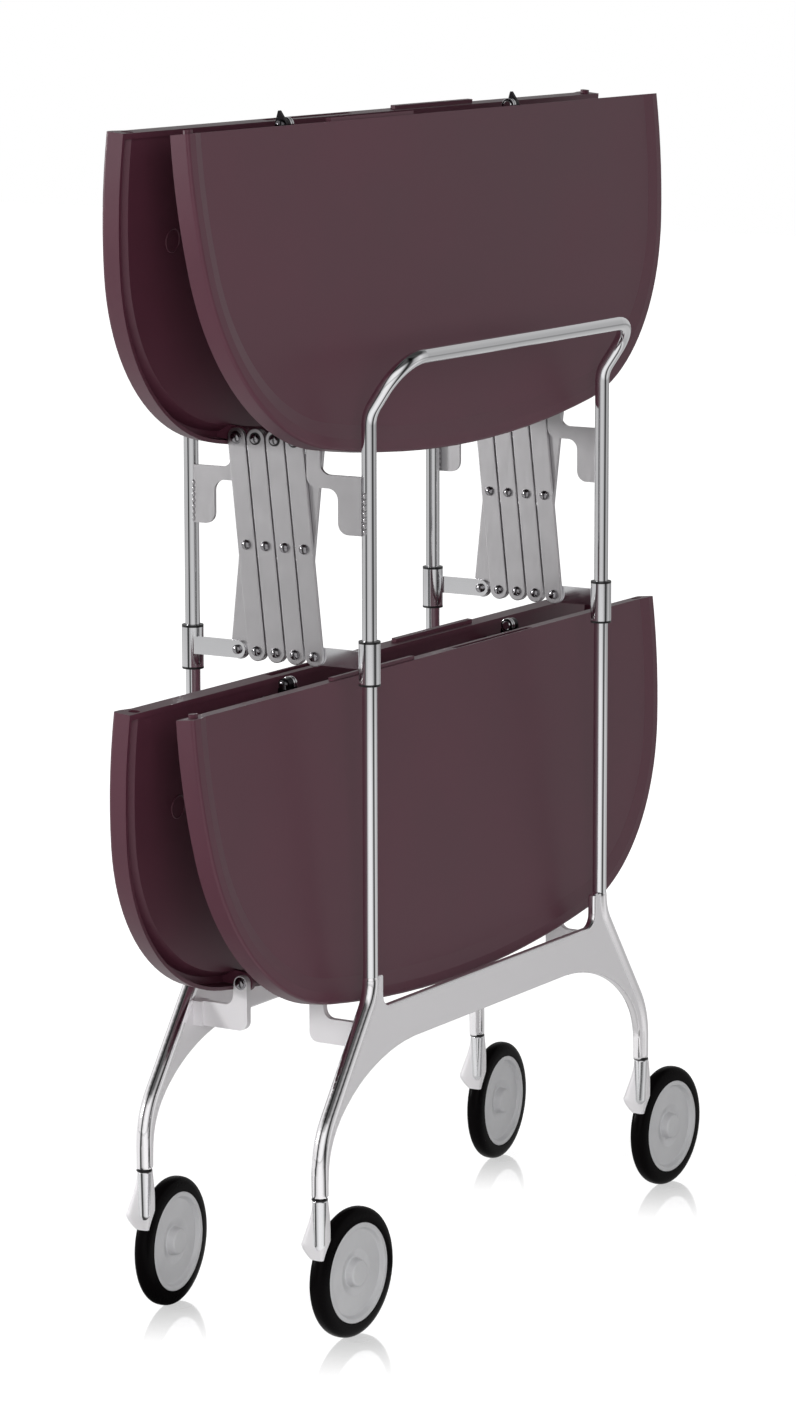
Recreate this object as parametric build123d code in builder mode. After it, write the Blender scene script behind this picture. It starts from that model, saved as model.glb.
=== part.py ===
from build123d import *
import os
from math import atan2, cos, degrees, radians, sin, sqrt, tan

os.makedirs("parts", exist_ok=True)

# A folding serving trolley, folded for storage.
# Two upright frames stand back to back, the front one at -Y and the rear one at +Y.
# Two trays hang between them, each in two D-shaped halves that fold up about a centre hinge.
# A lazy-tongs linkage on the left and on the right keeps the frames parallel.
# Whatever is at the front is the rear piece turned half a turn about Z, apart from the casters.

# Overall places
frame_half_depth = 73.6
tube_half_span = 165.1
pivot_from_centre = 31.8
lower_pivot_rise = 7.2
tray_spacing = 391.0
pin_above_pivot = 217.0

# Fits and small allowances
running_fit = 0.05
sliding_fit = 0.08
seat_gap = 0.1
weld_gap = 0.03
lap = 0.2
overrun = 20.0
quarter_turn = 90

# Handle tube
tube_radius = 5.25
tube_wall = 1.0
tube_bend_rise = 21.5
handle_rise = 39.0
handle_reach = 26.8
tube_bend_radius = 22.0
handle_corner_radius = 26.2

# Leg casting
web_thickness = 7.0
crossbar_rise = 89.8
crossbar_height = 30.8
socket_height = 23.7
socket_width = 13.0
socket_fillet = 9.0
shoulder_drop = 13.0
knee_rise = 37.7
shoulder_bend_share = 0.875
knee_bend_share = 0.52
rib_radius = 5.75
caster_half_span = 233.1
foot_above_wheel = 17.1
arch_centre_from_tube = 60.1
arch_centre_rise = 7.3
leg_foot_width = 11.1
arch_edge_round = 2.2
spigot_length = 28.0

# Tray halves, measured from the straight edge and from the middle
edge_gap = 0.5
skirt_from_pin = 18.8
tray_height = 14.35
tray_half_width = 324.3
tray_depth = 237.2
side_arc_offset = 18.0
side_arc_radius = 384.0
corner_arc_radius = 161.0
front_arc_radius = 1171.0
tray_splay = 5.42
tray_wall = 2.6
rim_skin = 3.0
rim_width = 8.4
rim_rise = 2.6
rim_slope_width = 10.0
panel_recess = 2.0
ledge_width = 4.0
groove_width = 4.9
groove_slope_width = 6.0
tray_edge_round = 2.4
tongue_near = 30.0
tongue_far = 140.0
tongue_reach = 2.6
tongue_thickness = 4.0
tongue_from_top = 5.0
tongue_clearance = 0.8
peg_from_corner = 13.3
peg_length = 7.0
peg_width = 6.0
peg_reach = 2.6
peg_from_top = 9.0

# Scissor linkage
scissor_from_tube = 3.5
link_thickness = 2.5
link_layer_gap = 0.2
link_width = 14.5
link_pitch = pivot_from_centre / 2
link_length = 150.6
rivet_radius = 2.0
rivet_head_radius = 3.2
rivet_head_height = 1.2
rivet_head_round = 0.7

# Pivot pins, brackets and lugs
pin_radius = 2.5
pin_head_radius = 4.4
pin_head_height = 1.2
pin_head_round = 0.6
lug_thickness = 4.0
lug_gap = 0.5
lug_radius = 7.0
lug_outer_reach = 3.5
upper_leg_half_width = 5.5
upper_arm_drop = 21.5
upper_arm_depth = 9.5
upper_tab_depth = 31.5
upper_tab_width = 19.0
upper_bracket_round = 8.0
lower_bracket_thickness = 5.0
lower_leg_inner_half_width = 5.5
lower_leg_outer_half_width = 7.0
lower_arm_rise = 3.5
lower_arm_depth = 18.0
lower_bracket_round = 7.0
lower_boss_depth = 7.0
lower_boss_width = 11.0

# Collars that slide on the tubes
collar_radius = 7.75
collar_bore_radius = 6.35
collar_height = 28.3
bush_flange_height = 1.6
bush_sleeve_height = 6.0
collar_drop = 2.0
collar_arm_height = 12.5

# Centre hinges
barrel_radius = 4.7
hinge_pin_radius = 2.0
hinge_pin_head_radius = 3.4
hinge_pin_head_height = 0.9
hinge_width = 9.6
hinge_from_linkage = 5.4
hinge_finger_gap = 0.3
outer_finger_width = 2.6
strap_thickness = 2.5
strap_outer_bend = 5.0
strap_inner_bend = 2.5
strap_clearance = 0.9
strap_rise_from_pin = 11.5
leaf_length = 40.0
leaf_screw_radius = 3.2
leaf_screw_height = 1.5
leaf_screw_share = 0.26
ear_reach = 10.0
ear_tip_radius = 0.8
ear_lean = 0.6
ear_clearance = 0.7

# Casters
wheel_radius = 46.8
caster_trail = 43.6
wheel_offset = 3.3
tyre_half_width = 6.5
tyre_crown = 5.2
rim_seat_radius = 36.1
rim_lip_width = 3.2
disc_half_width = 6.7
web_front = 3.4
web_back = 0.6
hub_radius = 10.5
hub_front = 8.2
hub_back = 7.2
hub_edge_round = 1.0
axle_radius = 4.0
axle_end_wall = 3.0
column_radius = 5.4
fork_slope_drop = 2.6
fork_slope_height = 22.0
fork_shoulder_depth = 14.0
fork_front_reach = 3.9
fork_back_reach = 9.0
column_foot_depth = 2.0
blade_inner = 10.8
blade_outer = 14.6
blade_hub_radius = 9.0
tyre_clearance = 1.3
tyre_side_clearance = 0.9
stem_radius = 3.0
shoulder_round = 2.0
slope_top_share = 0.9
blade_root_radius = 5.4
lip_slope = 0.8
stem_length = 30.0
caster_seam = 0.4
front_caster_yaw = -2.5
rear_caster_yaw = 5.0

# Worked out from the sizes above, from the floor upward
foot_height = 2 * wheel_radius + foot_above_wheel
slope_top_height = foot_height - fork_slope_drop
shoulder_top_height = slope_top_height - fork_slope_height
shoulder_foot_height = shoulder_top_height - fork_shoulder_depth
column_foot_height = shoulder_foot_height - column_foot_depth
knee_height = foot_height + knee_rise
arch_centre_height = foot_height + arch_centre_rise
crossbar_bottom = foot_height + crossbar_rise
crossbar_top = crossbar_bottom + crossbar_height
lower_arm_bottom = crossbar_bottom + lower_arm_rise
lower_arm_top = lower_arm_bottom + lower_arm_depth
tube_foot_height = crossbar_top + socket_height
shoulder_height = tube_foot_height - shoulder_drop
lower_pivot_height = crossbar_top + lower_pivot_rise
upper_pivot_height = lower_pivot_height + tray_spacing
leg_lean = atan2(caster_half_span - tube_half_span, shoulder_height - knee_height)
shoulder_radius = shoulder_drop * shoulder_bend_share / tan(leg_lean / 2)
knee_radius = knee_rise * knee_bend_share / tan(leg_lean / 2)
arch_centre_from_middle = tube_half_span - arch_centre_from_tube
arch_half_width = caster_half_span - leg_foot_width - arch_centre_from_middle
upper_arm_top = upper_pivot_height - upper_arm_drop
upper_arm_bottom = upper_arm_top - upper_arm_depth
upper_tab_bottom = upper_arm_bottom - upper_tab_depth
tube_bend_height = upper_pivot_height + tube_bend_rise
handle_height = tube_bend_height + handle_rise
upper_pin_height = upper_pivot_height + pin_above_pivot
lower_pin_height = lower_pivot_height + pin_above_pivot
link_lift = sqrt(link_length**2 - link_pitch**2)
link_foot_height = upper_pivot_height - link_lift
link_middle_height = upper_pivot_height - link_lift / 2
scissor_plane = tube_half_span + scissor_from_tube
inner_layer = scissor_plane - link_layer_gap / 2 - link_thickness
outer_layer = scissor_plane + link_layer_gap / 2
lug_outer_face = inner_layer - lug_gap
hinge_outer_end = inner_layer - hinge_from_linkage
hinge_inner_end = hinge_outer_end - hinge_width
splay_sin = sin(radians(tray_splay))
splay_cos = cos(radians(tray_splay))
pivot_above_pin = pivot_from_centre * splay_cos - pin_above_pivot * splay_sin
tray_top = skirt_from_pin + tray_height
recess_floor = tray_top - rim_rise
panel_underside = skirt_from_pin + panel_recess
groove_roof = tray_top - rim_skin
peg_middle = tray_top - peg_from_top
peg_place = tray_half_width - peg_from_corner


def save(name, shape):
    """Label a finished piece or group and write it as a STEP file."""
    shape.label = name
    export_step(shape, "parts/" + name + ".step")


def half_turn(shape):
    """The same piece at the other end of the trolley."""
    return shape.rotate(Axis.Z, 180)


def save_pair(name, shape):
    """Write the rear piece and its front twin."""
    save("rear_" + name, shape)
    save("front_" + name, half_turn(shape))


# Handle tube: one bent tube from one socket, over the handle, to the other
with BuildPart() as handle_tube:
    with BuildLine():
        FilletPolyline(
            (-tube_half_span, frame_half_depth, tube_foot_height),
            (-tube_half_span, frame_half_depth, tube_bend_height),
            (-tube_half_span, frame_half_depth + handle_reach, handle_height),
            (tube_half_span, frame_half_depth + handle_reach, handle_height),
            (tube_half_span, frame_half_depth, tube_bend_height),
            (tube_half_span, frame_half_depth, tube_foot_height),
            radius=(tube_bend_radius, handle_corner_radius, handle_corner_radius, tube_bend_radius),
        )
    with BuildSketch(Plane((-tube_half_span, frame_half_depth, tube_foot_height))):
        Circle(tube_radius)
        Circle(tube_radius - tube_wall, mode=Mode.SUBTRACT)
    sweep()
save_pair("handle_tube", handle_tube.part)


# Leg casting: crossbar, two sockets for the tube and two bowed legs
frame_plane = Plane((0, frame_half_depth, 0), x_dir=(1, 0, 0), z_dir=(0, -1, 0))
arch_half_height = crossbar_bottom - arch_centre_height
socket_inner = tube_half_span - socket_width
with BuildPart() as leg_casting:
    with BuildSketch(frame_plane):
        with BuildLine():
            FilletPolyline(
                (0, crossbar_top),
                (socket_inner, crossbar_top),
                (socket_inner, tube_foot_height),
                (tube_half_span, tube_foot_height),
                radius=(socket_fillet, 0),
            )
            outer_rib = FilletPolyline(
                (tube_half_span, tube_foot_height),
                (tube_half_span, shoulder_height),
                (caster_half_span, knee_height),
                (caster_half_span, foot_height),
                radius=(shoulder_radius, knee_radius),
            )
            Polyline(
                outer_rib @ 1,
                (arch_centre_from_middle + arch_half_width, foot_height),
                (arch_centre_from_middle + arch_half_width, arch_centre_height),
            )
            EllipticalCenterArc(
                (arch_centre_from_middle, arch_centre_height),
                arch_half_width,
                arch_half_height,
                start_angle=0,
                arc_size=quarter_turn,
            )
            Line((arch_centre_from_middle, crossbar_bottom), (0, crossbar_bottom))
            mirror(about=Plane.YZ)
        make_face()
    extrude(amount=web_thickness / 2, both=True)
    arch_edges = leg_casting.edges().filter_by(GeomType.ELLIPSE)
    top_edges = (
        leg_casting.edges()
        .filter_by(Axis.X)
        .filter_by_position(Axis.Z, crossbar_bottom - lap, crossbar_top + lap)
    )
    notch_edges = (
        leg_casting.edges()
        .filter_by(GeomType.CIRCLE)
        .filter_by_position(Axis.X, -socket_inner, socket_inner)
    )
    fillet(arch_edges + top_edges + notch_edges, arch_edge_round)
    for side in (-1, 1):
        with BuildLine(frame_plane):
            FilletPolyline(
                (side * tube_half_span, tube_foot_height),
                (side * tube_half_span, shoulder_height),
                (side * caster_half_span, knee_height),
                (side * caster_half_span, foot_height),
                radius=(shoulder_radius, knee_radius),
            )
        with BuildSketch(Plane((side * tube_half_span, frame_half_depth, tube_foot_height))):
            Circle(rib_radius)
        sweep()
        with BuildSketch(Plane((side * tube_half_span, frame_half_depth, tube_foot_height))):
            Circle(tube_radius - tube_wall - running_fit)
        extrude(amount=spigot_length)
        with BuildSketch(Plane((side * caster_half_span, frame_half_depth, foot_height))):
            Circle(stem_radius + running_fit)
        extrude(amount=stem_length + seat_gap, mode=Mode.SUBTRACT)
save_pair("leg_casting", leg_casting.part)


def corners(sketch, *places):
    """The vertices of a sketch that stand at these places."""
    return [sketch.vertices().sort_by_distance((across, up, 0))[0] for across, up in places]


def upper_bracket(side, layer):
    """Plate that carries the upper tray pivot, welded to the inner face of the tube."""
    low = layer if side > 0 else -layer - link_thickness
    reach = frame_half_depth - tube_radius / 2
    upper_tab_inner = reach - upper_tab_width
    leg_inner = pivot_from_centre - upper_leg_half_width
    leg_outer = pivot_from_centre + upper_leg_half_width
    with BuildPart() as bracket:
        with BuildSketch(Plane.YZ.offset(low)) as plate:
            with BuildLine():
                Polyline(
                    (leg_inner, upper_pivot_height),
                    (leg_inner, upper_arm_bottom),
                    (upper_tab_inner, upper_arm_bottom),
                    (upper_tab_inner, upper_tab_bottom),
                    (reach, upper_tab_bottom),
                    (reach, upper_arm_top),
                    (leg_outer, upper_arm_top),
                    (leg_outer, upper_pivot_height),
                    close=True,
                )
            make_face()
            rounded = corners(
                plate,
                (leg_inner, upper_arm_bottom),
                (upper_tab_inner, upper_arm_bottom),
                (upper_tab_inner, upper_tab_bottom),
                (leg_outer, upper_arm_top),
            )
            fillet(rounded, upper_bracket_round)
            with Locations((pivot_from_centre, upper_pivot_height)):
                Circle(upper_leg_half_width)
                Circle(pin_radius + running_fit, mode=Mode.SUBTRACT)
        extrude(amount=link_thickness)
        with BuildSketch(Plane((side * tube_half_span, frame_half_depth, upper_tab_bottom - overrun))):
            Circle(tube_radius + weld_gap)
        extrude(amount=upper_arm_top - upper_tab_bottom + 2 * overrun, mode=Mode.SUBTRACT)
    return bracket.part


# The rear left and front right brackets are in the inner layer, the other two in the outer
rear_left_bracket = upper_bracket(-1, inner_layer)
rear_right_bracket = upper_bracket(1, outer_layer)
save_pair("upper_brackets", Compound(children=[rear_left_bracket, rear_right_bracket]))


def lower_bracket(side):
    """Arm from the crossbar that carries the lower tray pivot."""
    low = inner_layer if side > 0 else -inner_layer - lower_bracket_thickness
    casting_face = frame_half_depth - web_thickness / 2
    leg_inner = pivot_from_centre - lower_leg_inner_half_width
    leg_outer = pivot_from_centre + lower_leg_outer_half_width
    with BuildPart() as bracket:
        with BuildSketch(Plane.YZ.offset(low)) as plate:
            with BuildLine():
                Polyline(
                    (leg_inner, lower_pivot_height),
                    (leg_inner, lower_arm_bottom),
                    (casting_face, lower_arm_bottom),
                    (casting_face, lower_arm_top),
                    (leg_outer, lower_arm_top),
                    (pivot_from_centre + lower_leg_inner_half_width, lower_pivot_height),
                    close=True,
                )
            make_face()
            rounded = corners(plate, (leg_inner, lower_arm_bottom), (leg_outer, lower_arm_top))
            fillet(rounded, lower_bracket_round)
            with Locations((pivot_from_centre, lower_pivot_height)):
                Circle(lower_leg_inner_half_width)
                Circle(pin_radius + running_fit, mode=Mode.SUBTRACT)
        extrude(amount=lower_bracket_thickness)
        with BuildSketch(Plane.XY.offset(lower_arm_bottom)):
            with Locations((low + lower_bracket_thickness / 2, casting_face - lower_boss_depth / 2)):
                Rectangle(lower_boss_width, lower_boss_depth)
        extrude(amount=lower_arm_top - lower_arm_bottom)
    return bracket.part


save_pair("lower_brackets", Compound(children=[lower_bracket(-1), lower_bracket(1)]))


def headed_pin(place, start, end, shank, head, head_height, head_round):
    """Pin along X from start to end at a place (Y, Z), with a rounded head past each end."""
    across, height = place
    with BuildPart() as pin:
        with BuildSketch(Plane((start, across, height), x_dir=(0, 1, 0), z_dir=(1, 0, 0))):
            Circle(shank)
        extrude(amount=end - start)
        with BuildSketch(Plane((start, across, height), x_dir=(0, 1, 0), z_dir=(-1, 0, 0))):
            Circle(head)
        extrude(amount=head_height)
        with BuildSketch(Plane((end, across, height), x_dir=(0, 1, 0), z_dir=(1, 0, 0))):
            Circle(head)
        extrude(amount=head_height)
        rims = pin.edges().filter_by(GeomType.CIRCLE).group_by(SortBy.RADIUS)[-1].sort_by(Axis.X)
        chamfer([rims[0], rims[-1]], head_round)
    return pin.part


# Pivot pins of both trays, four at each frame
stack_inner = lug_outer_face - lug_thickness - seat_gap
upper_stack_outer = outer_layer + link_thickness + seat_gap
lower_stack_outer = inner_layer + lower_bracket_thickness + seat_gap
pivot_pins = []
for side in (-1, 1):
    for height, stack_outer in (
        (upper_pivot_height, upper_stack_outer),
        (lower_pivot_height, lower_stack_outer),
    ):
        start, end = sorted((side * stack_inner, side * stack_outer))
        place = (pivot_from_centre, height)
        pivot_pins.append(
            headed_pin(place, start, end, pin_radius, pin_head_radius, pin_head_height, pin_head_round)
        )
save_pair("pivot_pins", Compound(children=pivot_pins))


def tray_outline(inset, straight_edge):
    """Three-arc D outline of a tray half, moved in by an inset, up to a straight edge."""
    side_centre = Vector(tray_half_width - side_arc_radius, side_arc_offset)
    front_centre = Vector(0, tray_depth - front_arc_radius)
    # The corner arc touches the side arc and the front arc from inside
    to_side = side_arc_radius - corner_arc_radius
    to_front = front_arc_radius - corner_arc_radius
    apart = (side_centre - front_centre).length
    along = (to_front**2 - to_side**2 + apart**2) / (2 * apart)
    aside = sqrt(to_front**2 - along**2)
    line_way = (side_centre - front_centre).normalized()
    corner_centre = front_centre + line_way * along + Vector(line_way.Y, -line_way.X) * aside
    side_end = side_centre + (corner_centre - side_centre).normalized() * (side_arc_radius - inset)
    front_end = front_centre + (corner_centre - front_centre).normalized() * (front_arc_radius - inset)
    rise = straight_edge - side_centre.Y
    start = Vector(side_centre.X + sqrt((side_arc_radius - inset) ** 2 - rise**2), straight_edge)
    side_middle = arc_middle(side_centre, start, side_end)
    corner_middle = arc_middle(corner_centre, side_end, front_end)
    for mirrored in (1, -1):
        ThreePointArc(
            (mirrored * start.X, start.Y),
            (mirrored * side_middle.X, side_middle.Y),
            (mirrored * side_end.X, side_end.Y),
        )
        ThreePointArc(
            (mirrored * side_end.X, side_end.Y),
            (mirrored * corner_middle.X, corner_middle.Y),
            (mirrored * front_end.X, front_end.Y),
        )
    ThreePointArc((front_end.X, front_end.Y), (0, tray_depth - inset), (-front_end.X, front_end.Y))
    Line((-start.X, start.Y), (start.X, start.Y))


def arc_middle(centre, start, end):
    """The point halfway along a short arc about a centre."""
    way = (start + end) * 0.5 - centre
    return centre + way.normalized() * (start - centre).length


def tray_plane(pin_height, along, above):
    """Plane of the rear half: X across, Y away from the hinge, normal towards the top face."""
    away = Vector(0, splay_sin, -splay_cos)
    up = Vector(0, splay_cos, splay_sin)
    origin = Vector(0, 0, pin_height) + away * along + up * above
    return Plane(origin, x_dir=(1, 0, 0), z_dir=up)


def tray_half(pin_height):
    """Moulded half of a tray: panel with a raised rim, a groove round its underside and lugs."""
    tongue_top = tray_top - tongue_from_top
    flat = tray_plane(pin_height, 0, 0)
    with BuildPart() as half:
        with BuildSketch(tray_plane(pin_height, edge_gap, skirt_from_pin)):
            with BuildLine():
                tray_outline(0, 0)
            make_face()
        extrude(amount=tray_height)
        arcs = half.edges().filter_by(GeomType.CIRCLE)
        top_arcs = arcs.filter_by(lambda edge: flat.to_local_coords(edge.center()).Z > tray_top - lap)
        fillet(top_arcs, tray_edge_round)
        # Recess inside the rim, with a long slope, open at the straight edge
        for inset, above in ((rim_width, tray_top), (rim_width + rim_slope_width, recess_floor)):
            with BuildSketch(tray_plane(pin_height, edge_gap, above)):
                with BuildLine():
                    tray_outline(inset, -overrun)
                make_face()
        loft(ruled=True, mode=Mode.SUBTRACT)
        # Underside: all of it is cut up to the roof of the groove, then the panel is put back
        with BuildSketch(tray_plane(pin_height, edge_gap, skirt_from_pin)):
            with BuildLine():
                tray_outline(tray_wall, ledge_width)
            make_face()
        extrude(amount=groove_roof - skirt_from_pin, mode=Mode.SUBTRACT)
        groove_inner = tray_wall + groove_width
        for inset, above in (
            (groove_inner + groove_slope_width, panel_underside),
            (groove_inner, groove_roof + lap),
        ):
            with BuildSketch(tray_plane(pin_height, edge_gap, above)):
                with BuildLine():
                    tray_outline(inset, ledge_width - lap)
                make_face()
        loft(ruled=True)
        # Locating tongue on one side and its slot on the other
        tongue_width = tongue_far - tongue_near
        tongue_place = (tongue_near + tongue_far) / 2
        with BuildSketch(tray_plane(pin_height, edge_gap, tongue_top)):
            with Locations((tongue_place, (tray_wall - tongue_reach) / 2)):
                Rectangle(tongue_width, tongue_reach + tray_wall)
        extrude(amount=-tongue_thickness)
        with BuildSketch(tray_plane(pin_height, edge_gap, tongue_top + tongue_clearance)):
            with Locations((-tongue_place, (tray_wall - tongue_reach) / 2)):
                Rectangle(
                    tongue_width + 2 * tongue_clearance,
                    2 * tongue_reach + tray_wall + 2 * tongue_clearance,
                )
        extrude(amount=-tongue_thickness - 2 * tongue_clearance, mode=Mode.SUBTRACT)
        # Locating peg at one end of the straight edge and its pocket at the other
        edge_plane = Plane(
            tray_plane(pin_height, edge_gap, peg_middle).origin,
            x_dir=(1, 0, 0),
            z_dir=(0, -splay_sin, splay_cos),
        )
        with BuildSketch(edge_plane.offset(-tray_wall)):
            with Locations((peg_place, 0)):
                RectangleRounded(peg_length, peg_width, peg_width / 2 - lap)
        extrude(amount=tray_wall + peg_reach)
        with BuildSketch(edge_plane):
            with Locations((-peg_place, 0)):
                RectangleRounded(
                    peg_length + 2 * tongue_clearance,
                    peg_width + 2 * tongue_clearance,
                    peg_width / 2 + tongue_clearance - lap,
                )
        extrude(amount=-peg_reach - tongue_clearance, mode=Mode.SUBTRACT)
        # Pivot lugs
        lug_height = groove_roof + lap - pivot_above_pin
        for low in (-lug_outer_face, lug_outer_face - lug_thickness):
            lug_plane = Plane(
                (low, pivot_from_centre, pin_height - pin_above_pivot),
                x_dir=(0, splay_cos, splay_sin),
                z_dir=(1, 0, 0),
            )
            with BuildSketch(lug_plane):
                Circle(lug_radius)
                with Locations((lug_height / 2, (lug_radius - lug_outer_reach) / 2)):
                    Rectangle(lug_height, lug_radius + lug_outer_reach)
                Circle(pin_radius + running_fit, mode=Mode.SUBTRACT)
            extrude(amount=lug_thickness)
    return half.part


for level, pin_height in (("upper", upper_pin_height), ("lower", lower_pin_height)):
    rear_half = tray_half(pin_height)
    save(level + "_rear_tray_half", rear_half)
    save(level + "_front_tray_half", half_turn(rear_half))


def hinge_leaf(pin_height, low, high, fingers, ear, room):
    """Strap leaf of one centre hinge, from low to high along X, with knuckles at its fingers.

    An ear stands on one finger, and room is cut for the ear of the other leaf.
    """
    leaf_origin = Vector(low, 0, pin_height)
    side_plane = Plane(leaf_origin, x_dir=(0, splay_sin, -splay_cos), z_dir=(1, 0, 0))
    with BuildPart() as leaf:
        with BuildSketch(side_plane):
            with BuildLine():
                FilletPolyline(
                    (0, barrel_radius - strap_thickness),
                    (strap_rise_from_pin + strap_thickness, barrel_radius - strap_thickness),
                    (strap_rise_from_pin + strap_thickness, panel_underside - strap_thickness),
                    (leaf_length, panel_underside - strap_thickness),
                    (leaf_length, panel_underside),
                    (strap_rise_from_pin, panel_underside),
                    (strap_rise_from_pin, barrel_radius),
                    (0, barrel_radius),
                    radius=(
                        0,
                        strap_outer_bend,
                        strap_inner_bend,
                        0,
                        0,
                        strap_outer_bend,
                        strap_inner_bend,
                        0,
                    ),
                    close=True,
                )
            make_face()
        extrude(amount=high - low)
        # Room for the knuckles of the other leaf
        with BuildSketch(side_plane):
            Circle(barrel_radius + strap_clearance)
        extrude(amount=high - low, mode=Mode.SUBTRACT)
        for start, end in room:
            with BuildSketch(side_plane.offset(start - low)):
                Circle(ear_reach + ear_clearance)
            extrude(amount=end - start, mode=Mode.SUBTRACT)
        for start, end in ear:
            with BuildSketch(side_plane.offset(start - low)):
                Circle(barrel_radius)
                with Locations((ear_tip_radius - ear_reach, -ear_lean)):
                    Circle(ear_tip_radius)
                make_hull()
                Circle(hinge_pin_radius + running_fit, mode=Mode.SUBTRACT)
            extrude(amount=end - start)
        for start, end in fingers:
            with BuildSketch(side_plane.offset(start - low)):
                Circle(barrel_radius)
                with Locations((strap_rise_from_pin / 2, barrel_radius - strap_thickness / 2)):
                    Rectangle(strap_rise_from_pin, strap_thickness)
                Circle(hinge_pin_radius + running_fit, mode=Mode.SUBTRACT)
            extrude(amount=end - start)
        # Two screw heads under the flange
        flange_start = strap_rise_from_pin + strap_thickness
        screw_step = (leaf_length - flange_start) * leaf_screw_share
        for along in (flange_start + screw_step, leaf_length - screw_step):
            seat = side_plane.from_local_coords((along, panel_underside - strap_thickness, 0))
            with BuildSketch(Plane(seat, x_dir=(1, 0, 0), z_dir=(0, -splay_cos, -splay_sin))):
                with Locations(((high - low) / 2, 0)):
                    Circle(leaf_screw_radius)
            extrude(amount=leaf_screw_height)
    return leaf.part


def mirrored(spans):
    """The same spans of X on the other side of the middle."""
    return [(-end, -start) for start, end in spans]


def hinge_spans(side):
    """Ends of a hinge along X, the span of its middle knuckle and those of its outer ones."""
    low, high = sorted((side * hinge_inner_end, side * hinge_outer_end))
    middle = [(low + outer_finger_width + hinge_finger_gap, high - outer_finger_width - hinge_finger_gap)]
    outer = [(low, low + outer_finger_width), (high - outer_finger_width, high)]
    return low, high, middle, outer


for level, pin_height in (("upper", upper_pin_height), ("lower", lower_pin_height)):
    rear_leaves = []
    front_leaves = []
    hinge_pins = []
    for side in (-1, 1):
        low, high, middle, outer = hinge_spans(side)
        # The ear is on the finger nearest the side of the trolley, and only on the upper tray
        ear = [max(outer, key=lambda span: abs(span[0] + span[1]))] if level == "upper" else []
        room = [(low - lap, middle[0][0])] if side < 0 else [(middle[0][1], high + lap)]
        rear_leaves.append(hinge_leaf(pin_height, low, high, middle, [], room if ear else []))
        front_leaf = hinge_leaf(pin_height, -high, -low, mirrored(outer), mirrored(ear), [])
        front_leaves.append(half_turn(front_leaf))
        hinge_pins.append(
            headed_pin(
                (0, pin_height),
                low - seat_gap,
                high + seat_gap,
                hinge_pin_radius,
                hinge_pin_head_radius,
                hinge_pin_head_height,
                hinge_pin_head_height / 2,
            )
        )
    save(level + "_rear_hinge_leaves", Compound(children=rear_leaves))
    save(level + "_front_hinge_leaves", Compound(children=front_leaves))
    save(level + "_hinge_pins", Compound(children=hinge_pins))


def layer_span(side, layer):
    """Low and high X of a layer of the linkage on the left (-1) or the right (1)."""
    return sorted((side * layer, side * (layer + link_thickness)))


def scissor_link(side, layer, top_across, foot_across, top_pin_radius):
    """Flat bar with rounded ends and three holes, from its top pivot to its foot pivot."""
    low, high = layer_span(side, layer)
    lean = degrees(atan2(link_lift, top_across - foot_across))
    middle = ((top_across + foot_across) / 2, link_middle_height)
    with BuildPart() as bar:
        with BuildSketch(Plane.YZ.offset(low)):
            with Locations(Location((middle[0], middle[1]), lean)):
                SlotCenterToCenter(link_length, link_width)
            with Locations(middle, (foot_across, link_foot_height)):
                Circle(rivet_radius + running_fit, mode=Mode.SUBTRACT)
            with Locations((top_across, upper_pivot_height)):
                Circle(top_pin_radius + running_fit, mode=Mode.SUBTRACT)
        extrude(amount=high - low)
    return bar.part


def rivet(side, across, height):
    """Rivet through both layers of the linkage."""
    start, end = sorted((side * inner_layer, side * (outer_layer + link_thickness)))
    return headed_pin(
        (across, height),
        start - seat_gap,
        end + seat_gap,
        rivet_radius,
        rivet_head_radius,
        rivet_head_height,
        rivet_head_round,
    )


def half_rivet(side, layer, across, height):
    """Rivet end in one layer only, with its head on the free face of that layer."""
    low, high = layer_span(side, layer)
    outward = side if layer == outer_layer else -side
    seat = high if outward > 0 else low
    root = low if outward > 0 else high
    with BuildPart() as stub:
        with BuildSketch(Plane((root, across, height), x_dir=(0, 1, 0), z_dir=(outward, 0, 0))):
            Circle(rivet_radius)
        extrude(amount=link_thickness + seat_gap)
        head_start = seat + outward * seat_gap
        with BuildSketch(Plane((head_start, across, height), x_dir=(0, 1, 0), z_dir=(outward, 0, 0))):
            Circle(rivet_head_radius)
        extrude(amount=rivet_head_height)
        head_rim = stub.edges().filter_by(GeomType.CIRCLE).sort_by(Axis.X)
        chamfer(head_rim[-1] if outward > 0 else head_rim[0], rivet_head_round)
    return stub.part


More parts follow.
